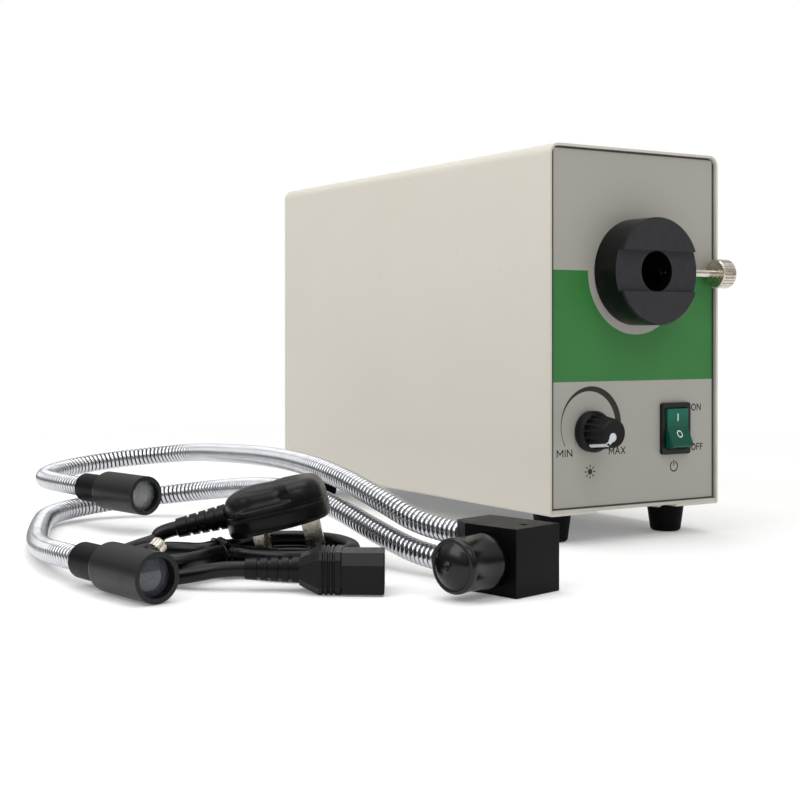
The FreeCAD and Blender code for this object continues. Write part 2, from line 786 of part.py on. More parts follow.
potentiometer_shaft = turned(
    "potentiometer_shaft",
    [
        (0, -shaft_reach),
        (shaft_diameter / 2, -shaft_reach),
        (shaft_diameter / 2, hollow_depth + knob_lift + panel_sheet + 1),
        (0, hollow_depth + knob_lift + panel_sheet + 1),
    ],
)
place(potentiometer_shaft, knob_x, panel_y - knob_lift - hollow_depth, knob_z)

bush_nut_body = hex_nut("bush_nut", bush_diameter + 2 * nut_play, 10, 2)
place(bush_nut_body, knob_x, panel_y, knob_z, 90, (1, 0, 0))
bush_nut_body.Label = "potentiometer_nut"

# ---- Power switch -----------------------------------------------------------------------------------------

opening_width = cell("opening_width", 14.6, "opening of the bezel, across")
opening_height = cell("opening_height", 21, "opening of the bezel, upright")
bezel_thick = cell("bezel_thick", 2, "bezel in front of the panel")
switch_depth = cell("switch_depth", 20, "switch body behind the panel's face")
rocker_play = cell("rocker_play", 0.25, "rocker in its opening, each side")
rocker_pivot = cell("rocker_pivot", 0.8, "rocker's axis behind the bezel's face")
rocker_rise = cell("rocker_rise", 3.9, "rocker's ends over its axis, level")
rocker_dip = cell("rocker_dip", 1.7, "rocker's middle over its axis")
rocker_tilt = cell("rocker_tilt", 12, "rocker's tilt each way, degrees")
well_depth = cell("well_depth", 13, "depth of the bezel's opening")

switch_body = new_body("switch_body")
bezel = rectangle(
    new_sketch(switch_body, "XZ_Plane"),
    -bezel_width / 2,
    bezel_width / 2,
    -bezel_height / 2,
    bezel_height / 2,
)
pad(switch_body, bezel, bezel_thick, way=-1)
round_edges(switch_body, lambda edge: along(edge, (0, 1, 0)), 1.5)
shell = rectangle(
    new_sketch(switch_body, "XZ_Plane"),
    -switch_width / 2,
    switch_width / 2,
    -switch_height / 2,
    switch_height / 2,
)
pad(switch_body, shell, switch_depth, way=1)
well = rectangle(
    new_sketch(switch_body, "XZ_Plane", -bezel_thick),
    -opening_width / 2,
    opening_width / 2,
    -opening_height / 2,
    opening_height / 2,
)
pocket(switch_body, well, well_depth, way=1)
place(switch_body, switch_x, panel_y, switch_z)

rocker_radius = opening_height / 2 - rocker_play
rocker_half = opening_width / 2 - rocker_play


def rocker_shape():
    """The rocker with its top pressed in: its ends are arcs about its axis, its face is a shallow V."""
    radius = float(rocker_radius)
    rise = float(rocker_rise)
    across = math.sqrt(radius**2 - rise**2)
    root = radius * 0.62
    back = math.sqrt(radius**2 - root**2)
    left = -float(rocker_half)
    tipped = Rotation(Vector(1, 0, 0), -float(rocker_tilt))
    outline = [(-rise, across), (-float(rocker_dip), 0), (-rise, -across), (0, -radius), (back, -root)]
    outline += [(back, root), (0, radius)]
    points = [tipped.multVec(Vector(left, y, z)) for y, z in outline]
    top, middle, bottom, low_end, under_bottom, under_top, high_end = points
    edges = [
        Part.LineSegment(top, middle).toShape(),
        Part.LineSegment(middle, bottom).toShape(),
        Part.Arc(bottom, low_end, under_bottom).toShape(),
        Part.LineSegment(under_bottom, under_top).toShape(),
        Part.Arc(under_top, high_end, top).toShape(),
    ]
    return Part.Face(Part.Wire(edges)).extrude(Vector(-2 * left, 0, 0))


pivot_y = panel_y - bezel_thick + rocker_pivot
place_shape("rocker", rocker_shape(), switch_x, pivot_y, switch_z)

tab_width = cell("tab_width", 6.3, "spade terminals")
terminals = new_body("terminal_tab")
tab = rectangle(new_sketch(terminals, "XZ_Plane"), -tab_width / 2, tab_width / 2, -0.4, 0.4)
pad(terminals, tab, 8, way=1)
tab_y = panel_y + switch_depth
tab_places = [(switch_x, tab_y, switch_z + lift) for lift in (-8, 0, 8)]
place_group("switch_terminals", copies(terminals, tab_places))

# ---- LED engine -------------------------------------------------------------------------------------------

tube_diameter = cell("tube_diameter", 38, "lens tube")
tube_bore = cell("tube_bore", 30, "bore of the lens tube")
tube_length = cell("tube_length", 22, "length of the lens tube")
lens_play = cell("lens_play", 0.1, "lens in its tube")
lens_thick = cell("lens_thick", 12, "condenser lens, middle")
lens_edge = cell("lens_edge", 3, "condenser lens, edge")
lens_back = cell("lens_back", 6, "LED board to the flat of the lens")
board_thick = cell("board_thick", 1.6, "circuit boards")
sink_size = cell("sink_size", 60, "side of the heat sink")
sink_plate = cell("sink_plate", 6, "base of the heat sink")
fin_depth = cell("fin_depth", 34, "depth of the fins")
fin_gap = cell("fin_gap", 3.6, "gap between fins")
fin_count = cell("fin_count", 11, "gaps between fins")
fin_edge = cell("fin_edge", 1.6, "outer fin")

tube_y = panel_y + spigot_length
lens_tube = turned(
    "lens_tube",
    [
        (socket_bore / 2 + 1, 0),
        (tube_diameter / 2, 0),
        (tube_diameter / 2, tube_length),
        (tube_bore / 2, tube_length),
        (tube_bore / 2, 2),
        (socket_bore / 2 + 1, 2),
    ],
)
place(lens_tube, 0, tube_y, axis_z)

lens_radius = tube_bore / 2 - lens_play


def domed(radius, edge, thick):
    """A plano-convex lens about Y: its flat at y = 0 and its dome towards -Y."""
    rim = Vector(radius, -edge, 0)
    crown = Vector(0, -thick, 0)
    sag = thick - edge
    sphere = (radius**2 + sag**2) / (2 * sag)
    half = math.asin(min(1, radius / sphere)) / 2
    middle = Vector(sphere * math.sin(half), -thick + sphere * (1 - math.cos(half)), 0)
    edges = [
        Part.LineSegment(Vector(0, 0, 0), Vector(radius, 0, 0)).toShape(),
        Part.LineSegment(Vector(radius, 0, 0), rim).toShape(),
        Part.Arc(rim, middle, crown).toShape(),
        Part.LineSegment(crown, Vector(0, 0, 0)).toShape(),
    ]
    face = Part.Face(Part.Wire(edges))
    return face.revolve(Vector(0, 0, 0), Vector(0, 1, 0), 360)


lens_y = tube_y + tube_length - lens_back
condenser = domed(float(lens_radius), float(lens_edge), float(lens_thick))
place_shape("condenser_lens", condenser, 0, lens_y, axis_z)

led_board = new_body("led_board")
pad(led_board, circle(new_sketch(led_board, "XZ_Plane"), 0, 0, tube_diameter), board_thick, way=1)
pad(led_board, circle(new_sketch(led_board, "XZ_Plane"), 0, 0, 12), 1.2, way=-1)
place(led_board, 0, tube_y + tube_length, axis_z)

sink_y = tube_y + tube_length + board_thick
sink_half = sink_size / 2
sink_depth = sink_plate + fin_depth
heat_sink = new_body("heat_sink")
block = rectangle(
    new_sketch(heat_sink, "XZ_Plane"), -sink_half, sink_half, -sink_half, sink_half
)
pad(heat_sink, block, sink_depth, way=1)
first_gap = rectangle(
    new_sketch(heat_sink, "XY_Plane"),
    fin_edge - sink_half,
    fin_edge + fin_gap - sink_half,
    sink_plate,
    sink_depth + 1,
)
gap_step = pocket(heat_sink, first_gap, 2 * sink_size, way=0)
in_line(heat_sink, gap_step, "X_Axis", sink_size - 2 * fin_edge - fin_gap, fin_count)
place(heat_sink, 0, sink_y, axis_z)

shelf_z = axis_z - sink_half - inside_z
engine_bracket = new_body("engine_bracket")
leg = sized(base_sheet)
bracket_outline = [
    (0, 0),
    (bracket_foot, 0),
    (bracket_foot, leg),
    (leg, leg),
    (leg, shelf_z - leg),
    (sink_depth, shelf_z - leg),
    (sink_depth, shelf_z),
    (0, shelf_z),
]
bracket_sketch = polygon(new_sketch(engine_bracket, "YZ_Plane"), bracket_outline)
pad(engine_bracket, bracket_sketch, bracket_width, way=0)
bracket_holes = new_sketch(engine_bracket, "XY_Plane")
for x in (-bracket_hole_x, bracket_hole_x):
    circle(bracket_holes, x, bracket_foot / 2, small_hole)
pocket(engine_bracket, bracket_holes, 3 * base_sheet, way=0)
place(engine_bracket, 0, bracket_leg_y + mid_y, inside_z)


# ---- Cooling fan ------------------------------------------------------------------------------------------

hub_diameter = cell("hub_diameter", 26, "hub of the fan rotor")
rotor_gap = cell("rotor_gap", 0.8, "tip of a blade to the fan's bore")
blade_count = cell("blade_count", 7, "blades of the fan rotor")
blade_root = cell("blade_root", 42, "pitch of a blade at the hub, degrees")
blade_tip = cell("blade_tip", 24, "pitch of a blade at its tip, degrees")
blade_chord = cell("blade_chord", 17, "chord of a blade")
blade_thick = cell("blade_thick", 1.1, "thickness of a blade")
strut_thick = cell("strut_thick", 3, "struts and motor plate")
strut_width = cell("strut_width", 4, "width of a strut")
motor_boss = cell("motor_boss", 8, "bearing tube of the fan")
fan_shaft = cell("fan_shaft", 3, "fan shaft")
fan_shaft_play = cell("fan_shaft_play", 0.1, "fan shaft in its bearing")
boss_length = cell("boss_length", 12, "bearing tube, from the struts")

fan_half = fan_size / 2
fan_frame = new_body("fan_frame")
square = rectangle(new_sketch(fan_frame, "XZ_Plane"), -fan_half, fan_half, -fan_half, fan_half)
pad(fan_frame, square, fan_depth, way=-1)
round_edges(fan_frame, lambda edge: along(edge, (0, 1, 0)), 4)
fan_holes = circle(new_sketch(fan_frame, "XZ_Plane"), 0, 0, fan_bore)
for x, z in corners((fan_pitch / 2, fan_pitch / 2)):
    circle(fan_holes, x, z, fan_hole)
pocket(fan_frame, fan_holes, 3 * fan_depth, way=0)
strut_half = strut_width / 2
strut_reach = fan_bore / 2 + 0.5
pad(
    fan_frame,
    rectangle(new_sketch(fan_frame, "XZ_Plane"), -strut_reach, strut_reach, -strut_half, strut_half),
    strut_thick,
    way=-1,
)
pad(
    fan_frame,
    rectangle(new_sketch(fan_frame, "XZ_Plane"), -strut_half, strut_half, -strut_reach, strut_reach),
    strut_thick,
    way=-1,
)
pad(fan_frame, circle(new_sketch(fan_frame, "XZ_Plane"), 0, 0, hub_diameter), strut_thick, way=-1)
boss = circle(new_sketch(fan_frame, "XZ_Plane", -strut_thick), 0, 0, motor_boss)
pad(fan_frame, boss, boss_length, way=-1)
bearing = circle(new_sketch(fan_frame, "XZ_Plane", 0), 0, 0, fan_shaft + fan_shaft_play)
pocket(fan_frame, bearing, 4 * fan_depth, way=0)
place(fan_frame, 0, rear_inside_y, axis_z)


def rotor_shape():
    """Hub cup, shaft and twisted blades, about Y. The frame's rear face is y = 0."""
    face = Vector(0, 1, 0)
    hub_back = -float(strut_thick) - 1
    hub_front = 0.8 - float(fan_depth)
    hub_radius = float(hub_diameter) / 2
    hub = Part.makeCylinder(hub_radius, hub_back - hub_front, Vector(0, hub_front, 0), face)
    hollow_front = -float(strut_thick + boss_length) - 1
    hollow = Part.makeCylinder(
        float(motor_boss) / 2 + 1.5, hub_back - hollow_front, Vector(0, hollow_front, 0), face
    )
    hub = hub.cut(hollow)
    shaft_radius = float(fan_shaft) / 2
    hub = hub.fuse(
        Part.makeCylinder(shaft_radius, -0.5 - hollow_front, Vector(0, hollow_front, 0), face)
    )
    tip_radius = float(fan_bore) / 2 - float(rotor_gap)
    middle_y = (hub_back + hub_front) / 2
    sections = []
    for share in (0, 0.5, 1):
        radius = hub_radius - 1 + share * (tip_radius - hub_radius + 1)
        pitch = math.radians(float(blade_root) + share * float(blade_tip - blade_root))
        chord = float(blade_chord) / 2
        thick = float(blade_thick) / 2
        outline = [(-chord, -thick * 0.4), (chord, -thick), (chord, thick), (-chord, thick * 0.4)]
        points = []
        for run, rise in outline:
            across = run * math.cos(pitch) - rise * math.sin(pitch)
            back = run * math.sin(pitch) + rise * math.cos(pitch)
            points.append(Vector(across, middle_y + back, radius))
        sections.append(Part.makePolygon(points + points[:1]))
    blade = Part.makeLoft(sections, True, True)
    limit = Part.makeCylinder(tip_radius, hub_back - hub_front, Vector(0, hub_front, 0), face)
    blade = blade.common(limit)
    blades = []
    for n in range(round(float(blade_count))):
        copy = blade.copy()
        copy.rotate(Vector(0, 0, 0), face, n * 360 / float(blade_count))
        blades.append(copy)
    return hub.multiFuse(blades).removeSplitter()


place_shape("fan_rotor", rotor_shape(), 0, rear_inside_y, axis_z)

guard_pitch = cell("guard_pitch", 8, "radial pitch of the guard's rings")
guard_rings = cell("guard_rings", 3, "rings of the fan guard")


def guard_shape():
    """Concentric wire rings on two crossing wires that end in four screw eyes, lying on y = 0."""
    wire = float(guard_wire) / 2
    face = Vector(0, 1, 0)
    reach = float(fan_pitch) / math.sqrt(2)
    parts = []
    for n in range(round(float(guard_rings))):
        ring = Part.makeTorus((n + 1) * float(guard_pitch), wire, Vector(0, 2.6 * wire, 0), face)
        parts.append(ring)
    eye_radius = float(foot_screw) / 2 + 2.2 * wire
    for turn_by in (45, 135):
        angle = math.radians(turn_by)
        way = Vector(math.cos(angle), 0, math.sin(angle))
        start = Vector(0, wire, 0) - way * (reach - eye_radius + wire)
        rod = Part.makeCylinder(wire, 2 * (reach - eye_radius + wire), start, way)
        parts.append(rod)
        for side in (-1, 1):
            middle = Vector(0, wire, 0) + way * (side * reach)
            parts.append(Part.makeTorus(eye_radius, wire, middle, face))
    return parts[0].multiFuse(parts[1:])


place_shape("fan_guard", guard_shape(), 0, rear_face_y, axis_z)

fan_screw_length = rear_sheet + fan_depth + guard_wire + m4_nut + 1.5
fan_screw_body = screw("fan_screw", foot_screw, fan_screw_length, m4_head, m4_head_height)
fan_places = [(x, z + axis_z) for x, z in corners((fan_pitch / 2, fan_pitch / 2))]
head_y = rear_face_y + guard_wire
place_group("fan_screws", copies(fan_screw_body, [(x, head_y, z) for x, z in fan_places], 90))
nut_y = rear_inside_y - fan_depth
fan_nuts = copies(foot_nut, [(x, nut_y, z) for x, z in fan_places], 90)
place_group("m4_nuts", foot_nuts + fan_nuts)

# ---- Driver board -----------------------------------------------------------------------------------------

standoff = hex_nut("standoff", cover_screw + nut_play, m3_flats, standoff_height)
board_places = [(x, y + board_y + mid_y) for x, y in corners((board_hole_x, board_hole_y))]
place_group("board_standoffs", copies(standoff, [(x, y, inside_z) for x, y in board_places]))
board_z = inside_z + standoff_height
driver_board = new_body("driver_board")
board_sketch = rectangle(
    new_sketch(driver_board, "XY_Plane"),
    -board_width / 2,
    board_width / 2,
    -board_length / 2,
    board_length / 2,
)
for x, y in corners((board_hole_x, board_hole_y)):
    circle(board_sketch, x, y, small_hole)
pad(driver_board, board_sketch, board_thick)
place(driver_board, 0, board_y + mid_y, board_z)

board_top = [(x, y, board_z + board_thick) for x, y in board_places]
place_group("board_screws", copies(small_screw, board_top, 180))

parts_z = board_z + board_thick
core_width = cell("core_width", 30, "driver transformer, across")
core_length = cell("core_length", 26, "driver transformer, front to back")
core_height = cell("core_height", 22, "driver transformer, upright")
transformer = new_body("transformer")
core = rectangle(
    new_sketch(transformer, "XY_Plane"),
    -core_width / 2,
    core_width / 2,
    -core_length / 2,
    core_length / 2,
)
pad(transformer, core, core_height)
winding = rectangle(
    new_sketch(transformer, "XZ_Plane"),
    -core_width / 2 + 6,
    core_width / 2 - 6,
    4,
    core_height - 4,
)
pad(transformer, winding, core_length + 6, way=0)
place(transformer, -14, board_y + mid_y + 4, parts_z)

can_diameter = cell("can_diameter", 16, "driver capacitors")
can_height = cell("can_height", 25, "height of a capacitor")
can = turned(
    "capacitor",
    [
        (0, 0),
        (can_diameter / 2, 0),
        (can_diameter / 2, can_height - 1),
        (can_diameter / 2 - 1, can_height),
        (0, can_height),
    ],
    plane="XZ_Plane",
)
can_places = [(20, board_y + mid_y + back, parts_z) for back in (-32, -13, 6)]
place_group("capacitors", copies(can, can_places))

# ---- Mains inlet ------------------------------------------------------------------------------------------

inlet_flange = cell("inlet_flange", 2.5, "flange of the mains inlet")
inlet_depth = cell("inlet_depth", 24, "inlet body behind the flange")
socket_width = cell("socket_width", 24.4, "inlet's recess, across")
recess_height = cell("recess_height", 16.8, "inlet's recess, upright")
recess_depth = cell("recess_depth", 17, "depth of the inlet's recess")
drawer_width = cell("drawer_width", 21, "fuse drawer, across")
drawer_height = cell("drawer_height", 7.6, "fuse drawer, upright")
drawer_depth = cell("drawer_depth", 18, "depth of the fuse drawer")
drawer_play = cell("drawer_play", 0.2, "fuse drawer in its slot, each side")
pin_length = cell("pin_length", 14, "blades of the inlet")
flange_wide = inlet_pitch + 9
recess_mid = inlet_height / 2 - 2.2 - recess_height / 2
drawer_mid = -inlet_height / 2 + 1.8 + drawer_height / 2

mains_inlet = new_body("mains_inlet")
flange_half = flange_wide / 2
body_half = inlet_height / 2
flange_plate = polygon(
    new_sketch(mains_inlet, "XZ_Plane"),
    [
        (-flange_half, -5),
        (-inlet_width / 2 - 2, -body_half - 1),
        (inlet_width / 2 + 2, -body_half - 1),
        (flange_half, -5),
        (flange_half, 5),
        (inlet_width / 2 + 2, body_half + 1),
        (-inlet_width / 2 - 2, body_half + 1),
        (-flange_half, 5),
    ],
)
for side in (-1, 1):
    circle(flange_plate, side * inlet_pitch / 2, 0, small_hole)
pad(mains_inlet, flange_plate, inlet_flange, way=1)
inlet_block = rectangle(
    new_sketch(mains_inlet, "XZ_Plane"),
    -inlet_width / 2,
    inlet_width / 2,
    -body_half,
    body_half,
)
pad(mains_inlet, inlet_block, inlet_depth, way=-1)
bevel = cell("bevel", 4.5, "bevelled corners of the inlet's recess")
recess_sketch = polygon(
    new_sketch(mains_inlet, "XZ_Plane", inlet_flange),
    [
        (-socket_width / 2, recess_mid - recess_height / 2),
        (socket_width / 2, recess_mid - recess_height / 2),
        (socket_width / 2, recess_mid + recess_height / 2 - bevel),
        (socket_width / 2 - bevel, recess_mid + recess_height / 2),
        (-socket_width / 2 + bevel, recess_mid + recess_height / 2),
        (-socket_width / 2, recess_mid + recess_height / 2 - bevel),
    ],
)
pocket(mains_inlet, recess_sketch, recess_depth, way=-1)
drawer_slot = rectangle(
    new_sketch(mains_inlet, "XZ_Plane", inlet_flange),
    -drawer_width / 2 - drawer_play,
    drawer_width / 2 + drawer_play,
    drawer_mid - drawer_height / 2 - drawer_play,
    drawer_mid + drawer_height / 2 + drawer_play,
)
pocket(mains_inlet, drawer_slot, drawer_depth + drawer_play, way=-1)
place(mains_inlet, inlet_x, rear_face_y, inlet_z)

blade_spots = [(0, recess_mid + 2), (-7, recess_mid - 2), (7, recess_mid - 2)]
inlet_pins = Part.makeCompound(
    [
        Part.makeBox(
            2,
            float(pin_length),
            4,
            Vector(float(x) - 1, float(inlet_flange - recess_depth), float(z) - 2),
        )
        for x, z in blade_spots
    ]
)
place_shape("inlet_pins", inlet_pins, inlet_x, rear_face_y, inlet_z)

fuse_diameter = cell("fuse_diameter", 5, "glass fuse, 5 x 20")
fuse_drawer = new_body("fuse_drawer")
drawer_front = rectangle(
    new_sketch(fuse_drawer, "XZ_Plane", inlet_flange),
    -drawer_width / 2,
    drawer_width / 2,
    -drawer_height / 2,
    drawer_height / 2,
)
pad(fuse_drawer, drawer_front, drawer_depth, way=-1)
tray_hollow = rectangle(
    new_sketch(fuse_drawer, "XY_Plane", drawer_height / 2),
    -drawer_width / 2 + 0.4,
    drawer_width / 2 - 0.4,
    inlet_flange - 3 - fuse_diameter - 4,
    inlet_flange - 3,
)
pocket(fuse_drawer, tray_hollow, drawer_height - 1.2, way=-1)
finger = rectangle(
    new_sketch(fuse_drawer, "XZ_Plane", inlet_flange), -4, 4, -drawer_height / 2, -1.6
)
pocket(fuse_drawer, finger, 1, way=-1)
place(fuse_drawer, inlet_x, rear_face_y, inlet_z + drawer_mid)

fuse_length = cell("fuse_length", 20, "length of the fuse")
fuse = turned(
    "fuse",
    [
        (0, -fuse_length / 2),
        (fuse_diameter / 2, -fuse_length / 2),
        (fuse_diameter / 2, fuse_length / 2),
        (0, fuse_length / 2),
    ],
)
fuse_floor = -drawer_height / 2 + 1.2
place(
    fuse,
    inlet_x,
    rear_face_y + inlet_flange - 3 - (fuse_diameter + 4) / 2,
    inlet_z + drawer_mid + fuse_floor + fuse_diameter / 2,
    90,
)

inlet_spots = [inlet_x - inlet_pitch / 2, inlet_x + inlet_pitch / 2]
inlet_face_y = rear_face_y + inlet_flange
place_group(
    "inlet_screws", copies(small_screw, [(x, inlet_face_y, inlet_z) for x in inlet_spots], 90)
)
inlet_nuts = copies(small_nut, [(x, rear_inside_y, inlet_z) for x in inlet_spots], 90)
place_group("m3_nuts", cover_nuts + inlet_nuts)

# ---- Light guide ------------------------------------------------------------------------------------------
# The guide lies beside the case. Its block stands on the table with both hoses leaving it towards its own +Y.

block_x = cell("block_x", -138, "middle of the guide block")
block_y = cell("block_y", -199, "middle of the guide block")
block_angle = cell("block_angle", 13, "turn of the guide block, degrees")
block_width = cell("block_width", 27, "guide block, along the ferrule")
block_length = cell("block_length", 36, "guide block, along the hoses")
block_height = cell("block_height", 27, "guide block, upright")
block_bevel = cell("block_bevel", 6, "bevelled corner of the guide block")
hose_diameter = cell("hose_diameter", 10.5, "gooseneck hose")
hose_low = cell("hose_low", 7.25, "lower hose over the table")
hose_high = cell("hose_high", 19.75, "upper hose over the table")
hose_seat = cell("hose_seat", 8, "hose inside the block or a sleeve")
hose_play = cell("hose_play", 0.05, "hose in its seat, radial")
ferrule_diameter = cell("ferrule_diameter", 19.9, "ferrule that fits the socket")
ferrule_length = cell("ferrule_length", 21, "ferrule outside the block")
ferrule_seat = cell("ferrule_seat", 6, "ferrule inside the block")
ferrule_play = cell("ferrule_play", 0.05, "ferrule in its cap, radial")
cap_wall = cell("cap_wall", 1, "wall of the dust cap")
cap_cover = cell("cap_cover", 18, "ferrule covered by the cap")
cap_dome = cell("cap_dome", 3.4, "dome of the cap")

angle = math.radians(float(block_angle))
block_half = block_length / 2


def block_point(across, back, up):
    """A point of the guide block's own frame, in the frame of the part."""
    x = float(block_x) + float(across) * math.cos(angle) - float(back) * math.sin(angle)
    y = float(block_y) + float(across) * math.sin(angle) + float(back) * math.cos(angle)
    return (x, y, float(up))


guide_block = new_body("guide_block")
block_outline = polygon(
    new_sketch(guide_block, "XY_Plane"),
    [
        (-block_width / 2, -block_half),
        (block_width / 2, -block_half),
        (block_width / 2, block_half),
        (-block_width / 2 + block_bevel, block_half),
        (-block_width / 2, block_half - 1.6 * block_bevel),
    ],
)
pad(guide_block, block_outline, block_height)
hose_holes = new_sketch(guide_block, "XZ_Plane", block_half)
circle(hose_holes, 0, hose_low, hose_diameter + 2 * hose_play)
circle(hose_holes, 0, hose_high, hose_diameter + 2 * hose_play)
pocket(guide_block, hose_holes, hose_seat, way=-1)
ferrule_z = block_height / 2
ferrule_y = -4
seat = circle(new_sketch(guide_block, "YZ_Plane", -block_width / 2), ferrule_y, ferrule_z, 16)
pocket(guide_block, seat, ferrule_seat, way=1)
set_hole = cell("set_hole", 3, "set screw of the guide block")
set_screw_y = cell("set_screw_y", -11, "set screw, along the block")
set_depth = cell("set_depth", 4, "depth of the set screw")
set_pocket = circle(new_sketch(guide_block, "XY_Plane", block_height), 0, set_screw_y, set_hole)
pocket(guide_block, set_pocket, set_depth + 1, way=-1)
place(guide_block, block_x, block_y, 0, block_angle)

set_screw = new_body("block_set_screw")
pad(set_screw, circle(new_sketch(set_screw, "XY_Plane"), 0, 0, set_hole), set_depth)
hexagon = [(0.75 * math.cos(n * math.pi / 3), 0.75 * math.sin(n * math.pi / 3)) for n in range(6)]
pocket(set_screw, polygon(new_sketch(set_screw, "XY_Plane", set_depth), hexagon), 2, way=-1)
set_x, set_y, set_z = block_point(0, set_screw_y, block_height - set_depth - 1)
place(set_screw, set_x, set_y, set_z, block_angle)

ferrule_radius = ferrule_diameter / 2
ferrule = turned(
    "guide_ferrule",
    [
        (0, -ferrule_seat),
        (7.95, -ferrule_seat),
        (7.95, 0),
        (ferrule_radius, 0),
        (ferrule_radius, ferrule_length - 0.6),
        (ferrule_radius - 0.6, ferrule_length),
        (0, ferrule_length),
    ],
)
ferrule_x, ferrule_at_y, ferrule_at_z = block_point(-block_width / 2, ferrule_y, ferrule_z)
place(ferrule, ferrule_x, ferrule_at_y, ferrule_at_z, block_angle + 90)

cap_radius = ferrule_radius + ferrule_play


def cap_shape():
    """A soft cap with a low dome and a nipple, pulled over the ferrule's end. Its mouth is y = 0."""
    inner = float(cap_radius)
    outer = inner + float(cap_wall)
    floor = float(cap_cover) + 0.1
    skirt = floor + 0.6
    crown = skirt + float(cap_dome)
    sphere = (outer**2 + float(cap_dome) ** 2) / (2 * float(cap_dome))
    half = math.asin(outer / sphere) / 2
    middle = Vector(sphere * math.sin(half), crown - sphere * (1 - math.cos(half)), 0)
    edges = [
        Part.LineSegment(Vector(inner, 0, 0), Vector(outer, 0, 0)).toShape(),
        Part.LineSegment(Vector(outer, 0, 0), Vector(outer, skirt, 0)).toShape(),
        Part.Arc(Vector(outer, skirt, 0), middle, Vector(0, crown, 0)).toShape(),
        Part.LineSegment(Vector(0, crown, 0), Vector(0, floor, 0)).toShape(),
        Part.LineSegment(Vector(0, floor, 0), Vector(inner, floor, 0)).toShape(),
        Part.LineSegment(Vector(inner, floor, 0), Vector(inner, 0, 0)).toShape(),
    ]
    cap = Part.Face(Part.Wire(edges)).revolve(Vector(0, 0, 0), Vector(0, 1, 0), 360)
    nipple = Part.makeCylinder(1.6, 1.8, Vector(0, crown - 0.6, 0), Vector(0, 1, 0))
    return cap.fuse(nipple)


cap_at = block_point(-block_width / 2 - ferrule_length + cap_cover, ferrule_y, ferrule_z)
place_shape("ferrule_cap", cap_shape(), *cap_at, about_z(block_angle + 90))


def tube_path(label, points):
    """Straight runs joined by tangent arcs, each arc as large as its two runs allow."""
    bends = [Vector(*point) for point in points]
    edges = []
    here = bends[0]
    for before, corner, after in zip(bends, bends[1:], bends[2:]):
        arriving = corner - before
        leaving = after - corner
        bend = arriving.getAngle(leaving)
        cut = 0.45 * min(arriving.Length, leaving.Length)
        radius = cut / math.tan(bend / 2)
        print(f"{label}: bend of {math.degrees(bend):.0f} degrees, radius {radius:.0f} mm")
        start = corner - arriving.normalize() * cut
        end = corner + leaving.normalize() * cut
        inward = (end - corner).normalize() + (start - corner).normalize()
        rise = radius / math.cos(bend / 2) - radius
        middle = corner + inward.normalize() * rise
        edges.append(Part.LineSegment(here, start).toShape())
        edges.append(Part.Arc(start, middle, end).toShape())
        here = end
    edges.append(Part.LineSegment(here, bends[-1]).toShape())
    return Part.Wire(edges)


def tube_shape(label, points, diameter):
    """A plain round tube of a cord or hose along its route."""
    path = tube_path(label, points)
    first = Vector(*points[1]) - Vector(*points[0])
    ring = Part.Wire(Part.makeCircle(diameter / 2, Vector(*points[0]), first))
    tube = path.makePipeShell([ring], True, False)
    wanted = math.pi * diameter**2 / 4 * path.Length
    if abs(tube.Volume - wanted) > 0.01 * wanted:
        raise ValueError(f"{label}: the tube's volume is {tube.Volume:.0f}, not {wanted:.0f}")
    print(f"{label}: length {path.Length:.0f} mm")
    return tube


# Light heads: a sleeve crimped on the hose, and a focusing barrel that slides on it, locked by a screw.
sleeve_diameter = cell("sleeve_diameter", 15, "sleeve of a light head")
sleeve_length = cell("sleeve_length", 38, "sleeve, from the hose's end forward")
fibre_bore = cell("fibre_bore", 5, "bore of a sleeve for the fibres")
barrel_diameter = cell("barrel_diameter", 20, "focusing barrel")
barrel_length = cell("barrel_length", 36, "length of a barrel")
barrel_play = cell("barrel_play", 0.05, "barrel on its sleeve, radial")
barrel_cover = cell("barrel_cover", 26, "sleeve covered by the barrel")
barrel_edge = cell("barrel_edge", 2.2, "rounding of the barrel's rear edge")
head_lens = cell("head_lens", 16, "lens of a light head")
head_lens_thick = cell("head_lens_thick", 2.6, "thickness of that lens")
head_lens_back = cell("head_lens_back", 5.5, "seat of the lens behind the barrel's rim")
lock_thread = cell("lock_thread", 3, "lock screw, M3")
lock_head = cell("lock_head", 6.5, "head of the lock screw")
lock_back = cell("lock_back", 20, "lock screw from the barrel's rear end")
lock_stand = cell("lock_stand", 2, "boss under the lock screw's head")
lock_clear = cell("lock_clear", 0.3, "tip of the lock screw off the sleeve")
head_frames = {
    "upper": (Vector(-216, 59, 20), 13, -12),
    "lower": (Vector(-280, -112, 10.1), 10, 41),
}


def head_point(side, back):
    """A point on the axis of a head, so far behind the hose's end."""
    end, turn_by, lock_turn = head_frames[side]
    point = end + about_z(turn_by).multVec(Vector(0, float(back), 0))
    return (point.x, point.y, point.z)


